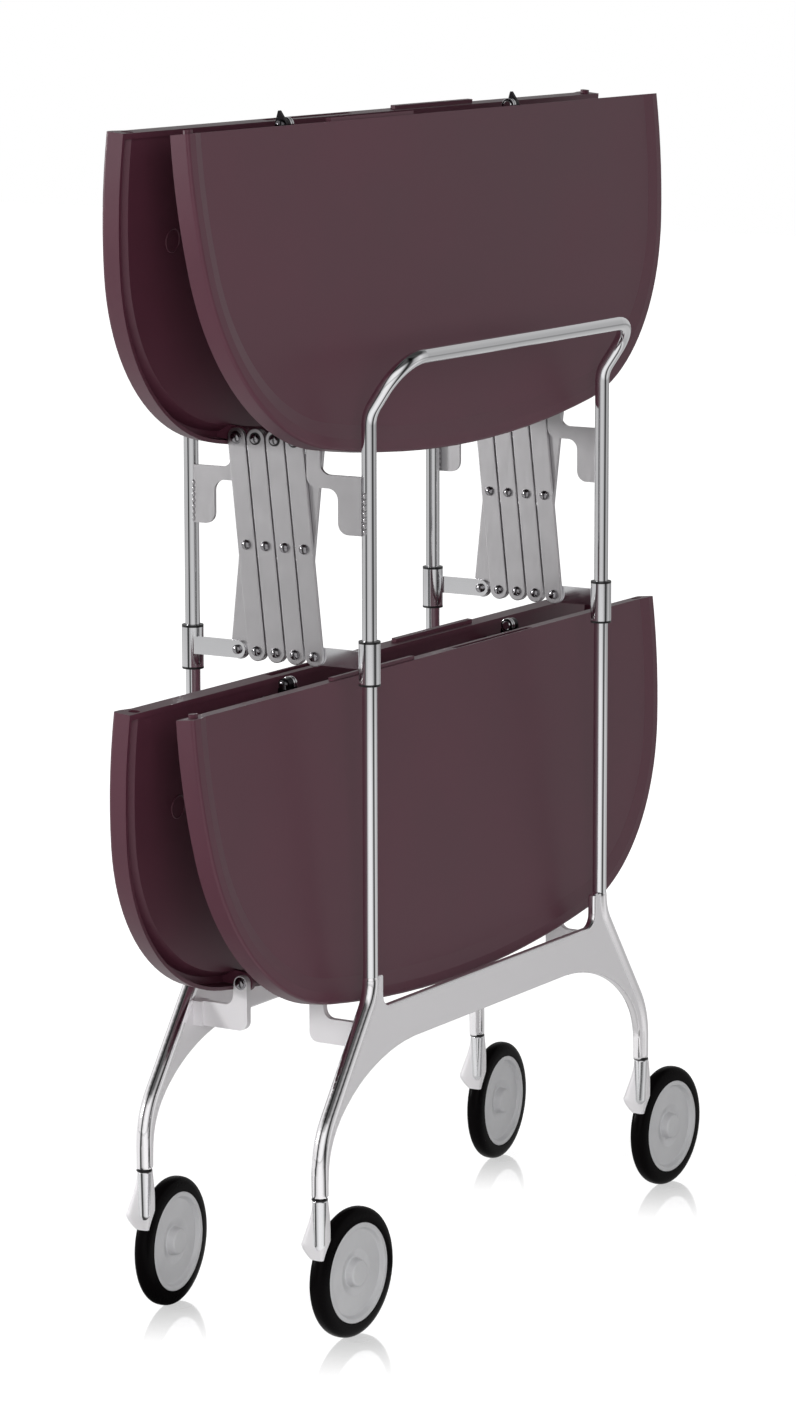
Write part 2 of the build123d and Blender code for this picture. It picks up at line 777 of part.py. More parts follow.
# Pivots of the linkage from the rear frame to the middle of the trolley
outer_row = pivot_from_centre
inner_row = pivot_from_centre - link_pitch
middle_row = pivot_from_centre - 2 * link_pitch
link_ends = (
    (outer_row, inner_row, pin_radius),
    (inner_row, outer_row, rivet_radius),
    (inner_row, middle_row, rivet_radius),
    (middle_row, inner_row, rivet_radius),
)
second_rivets = []
third_rivets = []
fourth_rivets = []
for side, sign_name, twin_name, first_layer, second_layer in (
    (-1, "left", "right", outer_layer, inner_layer),
    (1, "right", "left", inner_layer, outer_layer),
):
    for number, (top_across, foot_across, top_radius) in enumerate(link_ends, start=1):
        layer = first_layer if number % 2 else second_layer
        bar = scissor_link(side, layer, top_across, foot_across, top_radius)
        save("rear_" + sign_name + "_link_" + str(number), bar)
        save("front_" + twin_name + "_link_" + str(number), half_turn(bar))
    second_rivets.append(rivet(side, (outer_row + inner_row) / 2, link_middle_height))
    second_rivets.append(rivet(side, inner_row, upper_pivot_height))
    third_rivets.append(half_rivet(side, first_layer, middle_row, link_foot_height))
    fourth_rivets.append(rivet(side, (inner_row + middle_row) / 2, link_middle_height))
    fourth_rivets.append(rivet(side, inner_row, link_foot_height))
    fourth_rivets.append(half_rivet(side, second_layer, middle_row, upper_pivot_height))
save_pair("link_2_rivets", Compound(children=second_rivets))
save_pair("link_3_rivets", Compound(children=third_rivets))
save_pair("link_4_rivets", Compound(children=fourth_rivets))


collar_middle = link_foot_height - collar_drop


def collar(side, layer):
    """Sleeve that slides on the tube, with the arm and the stud for the foot of the linkage."""
    low, high = layer_span(side, layer)
    outward = side if layer == outer_layer else -side
    stud_seat = high if outward > 0 else low
    arm_length = frame_half_depth - pivot_from_centre
    link_stack = 2 * link_thickness + link_layer_gap + seat_gap
    with BuildPart() as sleeve:
        with BuildSketch(Plane.YZ.offset(low)):
            with Locations((pivot_from_centre + arm_length / 2, link_foot_height)):
                Rectangle(arm_length, collar_arm_height)
            with Locations((pivot_from_centre, link_foot_height)):
                Circle(collar_arm_height / 2)
        extrude(amount=high - low)
        with BuildSketch(Plane((side * tube_half_span, frame_half_depth, collar_middle))):
            Circle(collar_radius)
        extrude(amount=collar_height / 2, both=True)
        with BuildSketch(Plane((side * tube_half_span, frame_half_depth, collar_middle))):
            Circle(collar_bore_radius)
        extrude(amount=collar_height / 2, both=True, mode=Mode.SUBTRACT)
        # Head on the free face of the arm, then the shank and the head past the link
        place = (pivot_from_centre, link_foot_height)
        with BuildSketch(Plane((stud_seat, *place), x_dir=(0, 1, 0), z_dir=(outward, 0, 0))):
            Circle(rivet_head_radius)
        extrude(amount=rivet_head_height)
        with BuildSketch(Plane((stud_seat, *place), x_dir=(0, 1, 0), z_dir=(-outward, 0, 0))):
            Circle(rivet_radius)
        extrude(amount=link_stack)
        far_seat = stud_seat - outward * link_stack
        with BuildSketch(Plane((far_seat, *place), x_dir=(0, 1, 0), z_dir=(-outward, 0, 0))):
            Circle(rivet_head_radius)
        extrude(amount=rivet_head_height)
    return sleeve.part


rear_left_collar = collar(-1, outer_layer)
rear_right_collar = collar(1, inner_layer)
save("rear_left_collar", rear_left_collar)
save("front_right_collar", half_turn(rear_left_collar))
save("rear_right_collar", rear_right_collar)
save("front_left_collar", half_turn(rear_right_collar))


def collar_bush(side, up):
    """Flanged bush in the top (1) or the bottom (-1) end of a collar."""
    seat = collar_middle + up * collar_height / 2
    seat_place = (side * tube_half_span, frame_half_depth, seat)
    with BuildPart() as bush:
        with BuildSketch(Plane(seat_place, x_dir=(1, 0, 0), z_dir=(0, 0, up))):
            Circle(collar_radius)
        extrude(amount=bush_flange_height)
        with BuildSketch(Plane(seat_place, x_dir=(1, 0, 0), z_dir=(0, 0, -up))):
            Circle(collar_bore_radius - weld_gap)
        extrude(amount=bush_sleeve_height)
        with BuildSketch(Plane(seat_place)):
            Circle(tube_radius + sliding_fit)
        extrude(amount=overrun, both=True, mode=Mode.SUBTRACT)
    return bush.part


bushes = [collar_bush(side, up) for side in (-1, 1) for up in (-1, 1)]
save_pair("collar_bushes", Compound(children=bushes))


def caster_base(across, depth, yaw):
    """Floor plane of a caster: X along its trail, Y towards the fork blade."""
    along = (cos(radians(yaw)), sin(radians(yaw)), 0)
    return Plane((across, depth, 0), x_dir=along, z_dir=(0, 0, 1))


def caster_fork(base):
    """Swivel stem, column, sloping shoulder and one blade beside the wheel, with the axle."""
    column_top = foot_height - caster_seam
    side_way = Vector(base.y_dir)
    wheel_centre = base.from_local_coords((caster_trail, wheel_offset, wheel_radius))
    with BuildPart() as fork:
        with BuildSketch(base.offset(column_foot_height)):
            Circle(column_radius)
        extrude(amount=column_top - column_foot_height)
        # Shoulder that spreads from the round column to the blade and over the tyre
        shoulder_place = (
            (fork_back_reach - fork_front_reach) / 2,
            (blade_outer - column_radius) / 2,
        )
        with BuildSketch(base.offset(slope_top_height)):
            Circle(column_radius * slope_top_share)
        with BuildSketch(base.offset(shoulder_top_height)):
            with Locations(shoulder_place):
                RectangleRounded(
                    fork_front_reach + fork_back_reach, blade_outer + column_radius, shoulder_round
                )
        loft()
        with BuildSketch(base.offset(shoulder_foot_height)):
            with Locations(shoulder_place):
                RectangleRounded(
                    fork_front_reach + fork_back_reach, blade_outer + column_radius, shoulder_round
                )
        extrude(amount=fork_shoulder_depth)
        # Blade from the shoulder to the hub
        blade_plane = Plane(base.origin + side_way * blade_outer, x_dir=base.x_dir, z_dir=-side_way)
        with BuildSketch(blade_plane):
            with Locations(
                (blade_root_radius - fork_front_reach, shoulder_foot_height + blade_root_radius)
            ):
                Circle(blade_root_radius)
            with Locations((caster_trail, wheel_radius)):
                Circle(blade_hub_radius)
            make_hull()
        extrude(amount=blade_outer - blade_inner)
        # Room for the tyre
        tyre_plane = Plane(
            wheel_centre - side_way * (tyre_half_width + overrun), x_dir=base.x_dir, z_dir=side_way
        )
        with BuildSketch(tyre_plane):
            Circle(wheel_radius + tyre_clearance)
        extrude(amount=2 * tyre_half_width + overrun + tyre_side_clearance, mode=Mode.SUBTRACT)
        # Axle and swivel stem
        axle_length = blade_inner - wheel_offset + hub_front - axle_end_wall - seat_gap
        axle_plane = Plane(
            wheel_centre + side_way * (blade_inner - wheel_offset), x_dir=base.x_dir, z_dir=-side_way
        )
        with BuildSketch(axle_plane):
            Circle(axle_radius)
        extrude(amount=axle_length)
        with BuildSketch(base.offset(column_top)):
            Circle(stem_radius)
        extrude(amount=caster_seam + stem_length)
    return fork.part


def wheel_plane(base):
    """Plane through the wheel centre: X away from the axle, Y along the axle."""
    centre = base.from_local_coords((caster_trail, wheel_offset, wheel_radius))
    return Plane(centre, x_dir=(0, 0, 1), z_dir=-base.x_dir)


def wheel_disc(base):
    """Dished disc with a raised lip at its rim and a blind hub."""
    section = wheel_plane(base)
    lip_inner = rim_seat_radius - rim_lip_width
    with BuildPart() as disc:
        with BuildSketch(section) as profile:
            with BuildLine():
                Polyline(
                    (0, -hub_front),
                    (hub_radius, -hub_front),
                    (hub_radius, -web_front),
                    (lip_inner, -web_front),
                    (lip_inner + lip_slope, -disc_half_width),
                    (rim_seat_radius, -disc_half_width),
                    (rim_seat_radius, disc_half_width),
                    (lip_inner + lip_slope, disc_half_width),
                    (lip_inner, -web_back),
                    (hub_radius, -web_back),
                    (hub_radius, hub_back),
                    (axle_radius + running_fit, hub_back),
                    (axle_radius + running_fit, axle_end_wall - hub_front),
                    (0, axle_end_wall - hub_front),
                    close=True,
                )
            make_face()
            fillet(corners(profile, (hub_radius, -hub_front)), hub_edge_round)
        revolve(axis=Axis(section.origin, base.y_dir))
    return disc.part


def tyre(base):
    """Soft tyre with a rounded tread, round the rim of the disc."""
    section = wheel_plane(base)
    with BuildPart() as ring:
        with BuildSketch(section) as profile:
            with BuildLine():
                Polyline(
                    (rim_seat_radius + weld_gap, -tyre_half_width),
                    (wheel_radius, -tyre_half_width),
                    (wheel_radius, tyre_half_width),
                    (rim_seat_radius + weld_gap, tyre_half_width),
                    close=True,
                )
            make_face()
            fillet(
                corners(profile, (wheel_radius, -tyre_half_width), (wheel_radius, tyre_half_width)),
                tyre_crown,
            )
        revolve(axis=Axis(section.origin, base.y_dir))
    return ring.part


for end_name, depth, yaw in (
    ("front", -frame_half_depth, front_caster_yaw),
    ("rear", frame_half_depth, rear_caster_yaw),
):
    for side_name, across in (("left", -caster_half_span), ("right", caster_half_span)):
        base = caster_base(across, depth, yaw)
        name = end_name + "_" + side_name + "_"
        save(name + "caster_fork", caster_fork(base))
        save(name + "wheel_disc", wheel_disc(base))
        save(name + "tyre", tyre(base))
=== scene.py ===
import math

import bmesh
import bpy
import numpy as np
from mathutils import Matrix, Vector


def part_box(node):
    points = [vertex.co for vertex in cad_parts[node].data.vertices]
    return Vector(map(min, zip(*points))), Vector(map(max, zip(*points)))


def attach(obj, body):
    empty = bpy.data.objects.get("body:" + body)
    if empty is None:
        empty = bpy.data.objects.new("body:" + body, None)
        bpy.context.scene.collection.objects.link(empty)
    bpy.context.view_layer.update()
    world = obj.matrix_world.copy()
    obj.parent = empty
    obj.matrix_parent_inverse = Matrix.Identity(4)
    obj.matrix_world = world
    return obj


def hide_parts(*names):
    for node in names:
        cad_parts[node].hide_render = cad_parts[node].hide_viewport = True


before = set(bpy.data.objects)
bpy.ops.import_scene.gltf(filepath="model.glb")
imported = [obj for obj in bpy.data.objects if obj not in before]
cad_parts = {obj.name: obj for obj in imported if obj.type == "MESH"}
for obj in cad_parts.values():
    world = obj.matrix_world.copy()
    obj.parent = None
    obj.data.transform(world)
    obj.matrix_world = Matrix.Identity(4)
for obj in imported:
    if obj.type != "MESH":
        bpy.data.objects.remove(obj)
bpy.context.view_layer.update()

bl_info = {
    "name": "Folding Serving Trolley",
    "version": (1, 0, 0),
    "blender": (4, 5, 0),
    "location": "3D View > Sidebar > Trolley",
    "description": "Dresses the folding trolley with its finishes, rivets, wheels and studio",
    "category": "Object",
}

ENDS = {"rear": 1, "front": -1}
SIDES = {"left": -1, "right": 1}
BOTH_SIDES = (-1, 1)
MM = 0.001

# Places of the fittings, in metres as in the frame

TOP_ROW = 0.6295
LOWER_ROW = 0.2385
TRAY_PIVOT = 0.0318
TRAY_PINS = {"upper": 0.8465, "lower": 0.4555}
TRAY_LEAN = math.radians(5.42)
LUG_INNER = 0.1615
LINK_LENGTH = 0.1506
LINK_PITCH = TRAY_PIVOT / 2
LINK_LIFT = math.sqrt(LINK_LENGTH**2 - LINK_PITCH**2)
MIDDLE_ROW = TOP_ROW - LINK_LIFT / 2
FOOT_ROW = TOP_ROW - LINK_LIFT
INNER_LAYER = 0.1660
OUTER_LAYER = 0.1687
LINK_THICKNESS = 0.0025
LINK_WIDTH = 0.0145
LINK_EASE = 0.0005
LOWER_BRACKET_FACE = 0.171
FRAME_DEPTH = 0.0736
TUBE_PLACE = 0.1651
TUBE_RADIUS = 0.00525
TAB_FOOT = 0.5670
HINGE_INNER = 0.1508
HINGE_OUTER = 0.1612
RIB_RADIUS = 0.00575
FOOT_HEIGHT = 0.1110
WEB_TOP = 0.2050
CASTER_PLACE = 0.2331
YAW = {"rear": 5.0, "front": -2.5}
TRAIL = 0.0436
WHEEL_RADIUS = 0.0468
BLADE = (0.0108, 0.0146)
HEAD_LIP = 0.0005

# Level of the grey screen that faces the camera, as mirrors see it

OPPOSITE_LEVEL = 0.55


# Colours and shader nodes


def linear(code):
    """Turn an sRGB hex code into linear red, green and blue."""
    encoded = np.array([int(code[i:i + 2], 16) for i in (1, 3, 5)]) / 255
    low = encoded / 12.92
    high = ((encoded + 0.055) / 1.055) ** 2.4
    return tuple(float(v) for v in np.where(encoded <= 0.04045, low, high))


def colour(value):
    """A linear colour with full opacity, as a colour socket wants it."""
    return (*value, 1.0)


def add(tree, kind, settings=None, inputs=None):
    """Add a node, set its settings, and give each named input its value or its link."""
    node = tree.nodes.new(kind)
    for key, value in (settings or {}).items():
        setattr(node, key, value)
    for key, value in (inputs or {}).items():
        if isinstance(value, bpy.types.NodeSocket):
            tree.links.new(value, node.inputs[key])
        else:
            node.inputs[key].default_value = value
    return node


def noise(tree, place, scale, detail=2.0, roughness=0.5):
    """Noise texture over the given coordinates."""
    node = add(tree, "ShaderNodeTexNoise", None, {
        "Vector": place, "Scale": scale, "Detail": detail, "Roughness": roughness,
    })
    return node.outputs["Fac"]


def remap(tree, value, low, high, first, last, kind="LINEAR"):
    """Bring the span from low to high to the span from first to last, held at both ends."""
    node = add(tree, "ShaderNodeMapRange", {"interpolation_type": kind}, {
        "Value": value, "From Min": low, "From Max": high, "To Min": first, "To Max": last,
    })
    return node.outputs["Result"]


def spread(tree, source, first, last):
    """Bring a texture's middle range, 0.3 to 0.7, to the span from first to last."""
    return remap(tree, source, 0.3, 0.7, first, last)


def calc(tree, operation, *values):
    """Work out a number from one to three others."""
    return add(tree, "ShaderNodeMath", {"operation": operation}, dict(enumerate(values))).outputs[0]


def scaled(tree, vector, factor):
    """Multiply a colour or a vector by a number."""
    node = add(tree, "ShaderNodeVectorMath", {"operation": "SCALE"}, {0: vector, "Scale": factor})
    return node.outputs["Vector"]


def blend(tree, factor, first, second):
    """Mix two colours by a factor."""
    node = add(tree, "ShaderNodeMix", {"data_type": "RGBA"}, {"Factor": factor, 6: first, 7: second})
    return node.outputs[2]


def relief(tree, height, strength, distance):
    """Fine relief of a surface, from a texture's height."""
    node = add(tree, "ShaderNodeBump", None, {
        "Height": height, "Strength": strength, "Distance": distance,
    })
    return node.outputs["Normal"]


def glow(tree, strength, tone=(1, 1, 1, 1)):
    """Even light that a surface gives off."""
    return add(tree, "ShaderNodeEmission", None, {"Color": tone, "Strength": strength}).outputs[0]


def summed(tree, first, second):
    """Two shaders added up."""
    return add(tree, "ShaderNodeAddShader", None, {0: first, 1: second}).outputs[0]


def mixed(tree, factor, first, second):
    """Two shaders mixed by a factor."""
    return add(tree, "ShaderNodeMixShader", None, {0: factor, 1: first, 2: second}).outputs[0]


def material(name):
    """A new material with only its output, its node tree and the object coordinates."""
    made = bpy.data.materials.new(name)
    made.use_nodes = True
    tree = made.node_tree
    tree.nodes.clear()
    output = add(tree, "ShaderNodeOutputMaterial")
    place = add(tree, "ShaderNodeTexCoord").outputs["Object"]
    return made, tree, output, place


def finish(tree, output, inputs):
    """Put the surface shader on the material's output."""
    shader = add(tree, "ShaderNodeBsdfPrincipled", None, inputs)
    tree.links.new(shader.outputs["BSDF"], output.inputs["Surface"])


# Materials


def moulded_tray_plastic(look):
    """Injection moulded ABS, dyed through and finely grained.

    The grain scatters the light of the studio into a soft grey veil over the aubergine, and
    the flow of the melt leaves faint clouds. Real grain is 0.2 mm, drawn here at 0.9 mm.
    """
    made, tree, output, place = material("moulded_abs_aubergine")
    clouds = noise(tree, place, 9.0, 3.0, 0.55)
    grain = noise(tree, place, 1 / look.grain)
    depth = spread(tree, clouds, 0.0, 1.0)
    finish(tree, output, {
        "Base Color": blend(tree, depth, colour(look.tray_dark), colour(look.tray_light)),
        "Roughness": spread(tree, clouds, 0.36, 0.44),
        "IOR": 1.5,
        "Normal": relief(tree, grain, 0.22, 0.00015),
    })
    return made


def polished_plate(name, tone, sheen_low, sheen_high):
    """Polished metal with bright or darkened plate: a cool mirror with faint wiping marks."""
    made, tree, output, place = material(name)
    finish(tree, output, {
        "Base Color": colour(tone),
        "Metallic": 1.0,
        "Roughness": spread(tree, noise(tree, place, 45.0, 4.0, 0.6), sheen_low, sheen_high),
    })
    return made


def cast_metal(name, tone):
    """Cast light metal, its ribs polished and its flats shot blasted.

    The flats show a fine even frost from 0.4 mm shot, drawn at 0.9 mm, and the polished
    ribs mirror the studio. The polish attribute of the mesh says which is which.
    """
    made, tree, output, place = material(name)
    frost = noise(tree, place, 1100.0, 2.0, 0.6)
    clouds = noise(tree, place, 30.0, 3.0)
    polish = add(tree, "ShaderNodeAttribute", {"attribute_name": "polish"}).outputs["Fac"]
    flat = spread(tree, clouds, 0.52, 0.58)
    roughness = add(tree, "ShaderNodeMix", None, {0: polish, 2: flat, 3: 0.1}).outputs[0]
    depth = calc(tree, "MULTIPLY_ADD", polish, -0.1, 0.12)
    # Blasting leaves a broken skin that scatters some of the light
    metal = calc(tree, "MULTIPLY_ADD", polish, 0.45, 0.55)
    finish(tree, output, {
        "Base Color": colour(tone),
        "Metallic": metal,
        "Roughness": roughness,
        "Normal": relief(tree, frost, depth, 0.0001),
    })
    return made


def rolled_steel(name, tone, roughness):
    """Rolled steel bar, nickel plated and tumbled: an even pale grey with faint drag lines."""
    made, tree, output, place = material(name)
    drawn = add(tree, "ShaderNodeMapping", None, {"Vector": place, "Scale": (900.0, 900.0, 60.0)})
    drag = noise(tree, drawn.outputs["Vector"], 1.0, 3.0, 0.6)
    depth = spread(tree, noise(tree, place, 60.0), 0.0, 1.0)
    finish(tree, output, {
        "Base Color": blend(tree, depth, colour(tuple(v * 0.94 for v in tone)), colour(tone)),
        "Metallic": 1.0,
        "Roughness": spread(tree, drag, roughness - 0.05, roughness + 0.05),
        "Normal": relief(tree, drag, 0.1, 0.00008),
    })
    return made


def wheel_polyamide(grey):
    """Injection moulded polyamide in pale grey: smooth, slightly waxy, with faint flow clouds."""
    made, tree, output, place = material("moulded_polyamide_grey")
    clouds = noise(tree, place, 55.0, 3.0)
    depth = spread(tree, clouds, 0.0, 1.0)
    finish(tree, output, {
        "Base Color": blend(tree, depth, colour(tuple(v * 0.93 for v in grey)), colour(grey)),
        "Roughness": spread(tree, clouds, 0.34, 0.42),
        "IOR": 1.53,
        "Normal": relief(tree, noise(tree, place, 1600.0), 0.08, 0.0001),
    })
    return made


def tyre_rubber(black):
    """Moulded thermoplastic rubber: deep black with a soft gloss, dulled in patches by rolling."""
    made, tree, output, place = material("moulded_rubber_black")
    finish(tree, output, {
        "Base Color": colour(black),
        "Roughness": spread(tree, noise(tree, place, 70.0, 4.0, 0.65), 0.22, 0.3),
        "IOR": 1.45,
        "Specular IOR Level": 0.03,
    })
    return made


def bush_acetal():
    """Turned acetal, black: a dense smooth plastic with a low shine, made once for all bushes."""
    name = "turned_acetal_black"
    if name in bpy.data.materials:
        return bpy.data.materials[name]
    made, tree, output, place = material(name)
    turned = add(tree, "ShaderNodeTexWave", {"bands_direction": "Z"}, {
        "Vector": place, "Scale": 320.0, "Distortion": 0.6,
    })
    finish(tree, output, {
        "Base Color": colour(linear("#141315")),
        "Roughness": spread(tree, turned.outputs["Fac"], 0.3, 0.36),
        "IOR": 1.48,
    })
    return made


def paint(ending, made):
    """Give the frame's nodes with this ending of their name their material."""
    for name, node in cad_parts.items():
        if name.endswith(ending):
            node.data.materials.clear()
            node.data.materials.append(made)


# Surfaces worked out as whole arrays


def turned_grid(profile, centre, axis, steps):
    """Surface of revolution: centre + axis * a + (u cos t + v sin t) * r for each (r, a) and t."""
    axis = Vector(axis).normalized()
    across = axis.orthogonal().normalized()
    other = axis.cross(across)
    turn = np.linspace(0, 2 * math.pi, steps, endpoint=False)
    ring = np.cos(turn)[:, None] * np.array(across) + np.sin(turn)[:, None] * np.array(other)
    radius, along = np.asarray(profile).T
    return (
        np.asarray(centre)
        + along[:, None, None] * np.array(axis)
        + radius[:, None, None] * ring[None, :, :]
    )


def closed_ends(rows):
    """Rows of a tube with one more row at each end, all of it at the middle of the end row."""
    poles = [np.repeat(rows[i].mean(axis=0)[None, None], rows.shape[1], axis=1) for i in (0, -1)]
    return np.concatenate([poles[0], rows, poles[1]])


def closed_faces(rows, columns, start):
    """Quads between the neighbours of a grid whose last column meets its first."""
    row, column = np.meshgrid(np.arange(rows - 1), np.arange(columns), indexing="ij")
    here = start + row * columns + column
    beside = start + row * columns + (column + 1) % columns
    return np.stack([here, beside, beside + columns, here + columns], axis=-1).reshape(-1, 4)


def make_piece(name, grids, made, body, angle=35.0):
    """Join closed grids into one object, close their poles, and let it ride on its body."""
    points = np.concatenate([grid.reshape(-1, 3) for grid in grids])
    starts = np.cumsum([0] + [grid.shape[0] * grid.shape[1] for grid in grids])
    faces = np.concatenate([closed_faces(*g.shape[:2], s) for g, s in zip(grids, starts)])
    mesh = bpy.data.meshes.new(name)
    mesh.from_pydata(points.tolist(), [], faces.tolist())
    work = bmesh.new()
    work.from_mesh(mesh)
    bmesh.ops.remove_doubles(work, verts=work.verts, dist=1e-7)
    bmesh.ops.dissolve_degenerate(work, edges=work.edges, dist=1e-8)
    bmesh.ops.recalc_face_normals(work, faces=work.faces)
    work.to_mesh(mesh)
    work.free()
    mesh.shade_smooth()
    mesh.set_sharp_from_angle(angle=math.radians(angle))
    mesh.materials.append(made)
    piece = bpy.data.objects.new(name, mesh)
    bpy.context.scene.collection.objects.link(piece)
    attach(piece, body)
    return piece


def dome(radius, height, steps=9):
    """Profile of a flat dome from its rim to its pole: r = R cos s, a = H sin s."""
    swing = np.linspace(0, math.pi / 2, steps)
    return np.stack([radius * np.cos(swing), height * np.sin(swing)], axis=1)


def mirrored(half):
    """A profile with its mirror image before it, from the far end to the near end."""
    return np.concatenate([(half * (1, -1))[::-1], half])


def rod(radius, low, high):
    """Profile of a plain rod from its low end to its high end."""
    return np.array([(0, low), (radius, low), (radius, high), (0, high)])


def ring_section(bore, reach, low, high):
    """Closed rectangular section of a ring, from its bore to its reach."""
    return np.array([(bore, low), (reach, low), (reach, high), (bore, high), (bore, low)])


def rounded_profile(corners, reach):
    """Cut each inner corner of a profile with a quadratic curve that starts and ends at reach."""
    before = corners[:-2] - corners[1:-1]
    after = corners[2:] - corners[1:-1]
    near = np.minimum(reach, 0.45 * np.linalg.norm(before, axis=1))
    far = np.minimum(reach, 0.45 * np.linalg.norm(after, axis=1))
    towards = before / np.linalg.norm(before, axis=1)[:, None] * near[:, None]
    onward = after / np.linalg.norm(after, axis=1)[:, None] * far[:, None]
    start = (corners[1:-1] + towards)[:, None]
    end = (corners[1:-1] + onward)[:, None]
    t = np.linspace(0, 1, 5)[None, :, None]
    curve = (1 - t) ** 2 * start + 2 * t * (1 - t) * corners[1:-1, None] + t**2 * end
    # A point just outside each rounding keeps the shading of the flats beside it flat
    outside = start + towards[:, None] * 0.1, end + onward[:, None] * 0.1
    curve = np.concatenate([outside[0], curve, outside[1]], axis=1)
    return np.concatenate([corners[:1], curve.reshape(-1, 2), corners[-1:]])


def washer_profile(seat, bore, reach, both):
    """Closed sections of the thin black washers on the seats of a rivet's heads, or of one of them: painted
    shade where the tray's shadow falls round the top row's heads.
    """
    ring = ring_section(bore, reach, seat, seat + HEAD_LIP)
    return mirrored(ring) if both else ring


def rivet_profile(length, shank, head, height, washer=0.0, both=True):
    """Profile of a rivet from pole to pole: dome, shank, dome, each dome on a thin washer.

    Half of a rivet ends flat where the first dome would be.
    """
    seat = length / 2
    brim = max(washer, head)
    top = seat + HEAD_LIP
    rim = [(shank, seat), (brim, seat), (brim, seat + HEAD_LIP * 0.6), (brim - HEAD_LIP * 0.3, top)]
    half = np.concatenate([rim, dome(head, height) + (0, top)])
    return mirrored(half) if both else np.concatenate([[(0, -seat), (shank, -seat)], half])


def bar_grid(ends, low, high, half_width, ease):
    """Flat bar between two points (y, z): round ended outline, face edges on a quarter circle.

    Point = middle line end + (half width - inset) * (cos t, sin t), at the depth of its row.
    """
    (y0, z0), (y1, z1) = ends
    lean = math.atan2(z0 - z1, y0 - y1)
    turn = np.linspace(-math.pi / 2, math.pi / 2, 17)
    angle = np.concatenate([turn + lean, turn + lean + math.pi])
    tip = np.repeat(np.array([(y0, z0), (y1, z1)]), len(turn), axis=0)
    swing = np.linspace(0, math.pi / 2, 5)
    rise, fall = ease * (1 - np.cos(swing)), ease * (1 - np.sin(swing))
    way = 1 if high > low else -1
    # A row just inside each rounded edge keeps the shading of the faces flat
    inset = np.concatenate([[ease * 1.4], fall, rise, [ease * 1.4]])
    depth = np.concatenate([[low], low + way * rise, high - way * fall, [high]])
    ring = np.stack([np.cos(angle), np.sin(angle)], axis=1)
    flat = tip[None] + (half_width - inset)[:, None, None] * ring[None]
    rows = np.concatenate([np.repeat(depth[:, None, None], len(angle), axis=1), flat], axis=2)
    return closed_ends(rows)


# Places of the rivets across the trolley


def layer_of(side, way, odd):
    """Inner face of the layer in which an odd or an even bar of this corner lies."""
    return OUTER_LAYER if (side * way < 0) == odd else INNER_LAYER


def stack_span(side, way, span="both"):
    """Middle, length and free side along X of a rivet.

    It runs through both layers, or through the one layer of an odd or an even bar.
    """
    if span == "both":
        low, high, free = INNER_LAYER, OUTER_LAYER + LINK_THICKNESS, side
    else:
        low = layer_of(side, way, span == "odd")
        high = low + LINK_THICKNESS
        free = side if low == OUTER_LAYER else -side
    return side * (low + high) / 2, high - low, free


# Sizes and colours that a user would change


def tone(name, description, code):
    """A colour for the sidebar, given by its sRGB hex code."""
    return bpy.props.FloatVectorProperty(
        name=name, description=description, subtype="COLOR", size=3, min=0.0, max=1.0,
        default=linear(code),
    )


def length(name, description, default, low, high):
    """A length for the sidebar, in metres."""
    return bpy.props.FloatProperty(
        name=name, description=description, subtype="DISTANCE", unit="LENGTH",
        default=default, min=low, max=high,
    )


class TrolleyLook(bpy.types.PropertyGroup):
    """Colours and grain of the finishes."""

    tray_light: tone("Tray Light", "Tray plastic where the melt ran thin", "#5C303F")
    tray_dark: tone("Tray Dark", "Tray plastic where the dye lies dense", "#552C3A")
    grain: length("Tray Grain", "Spacing of the grain on the trays", 0.0009, 0.0002, 0.01)
    chrome: tone("Chrome", "Mirror colour of the plated tubes", "#E9E9EB")
    cast_alloy: tone("Cast Alloy", "Colour of the leg castings", "#F8F6F8")
    link_steel: tone("Link Steel", "Colour of the linkage bars and brackets", "#C4C2C4")
    wheel_grey: tone("Wheel Grey", "Plastic of the wheel discs", "#DADADC")
    tyre_black: tone("Tyre Black", "Rubber of the tyres", "#0C0A0B")


class TrolleyFittings(bpy.types.PropertyGroup):
    """Sizes of the small fittings that the scene makes."""

    rivet_head: length("Rivet Head", "Radius of the domed rivet heads", 0.0035, 0.001, 0.006)
    rivet_rise: length("Rivet Rise", "Height of the domed rivet heads", 0.0023, 0.0005, 0.004)
    # Black washers under the top row: painted shadow of the tray round those heads
    washer: length("Washer", "Radius of the washers under the top row", 0.0044, 0.002, 0.007)
    casting_voxel: length("Casting Voxel", "Step of the casting's remesh", 0.0012, 0.0005, 0.004)
    mark_radius: length("Mould Mark", "Radius of the round marks in the trays", 0.008, 0.002, 0.02)


class TrolleyStage(bpy.types.PropertyGroup):
    """Camera, light and floor of the studio."""

    lens: bpy.props.FloatProperty(
        name="Lens", description="Focal length of the camera",
        subtype="DISTANCE_CAMERA", unit="CAMERA", default=217.56, min=20.0, max=600.0,
    )
    daylight: bpy.props.FloatProperty(
        name="Surroundings", description="Level of the even light from all round",
        default=0.69, min=0.0, max=3.0,
    )
    key_power: bpy.props.FloatProperty(
        name="Key Light", description="Power of the large soft lamp",
        subtype="POWER", unit="POWER", default=17.0, min=0.0, max=1000.0,
    )
    floor_gloss: bpy.props.FloatProperty(
        name="Floor Gloss", description="Share of mirror reflection in the white floor",
        subtype="FACTOR", default=0.75, min=0.0, max=1.0,
    )


# Steps


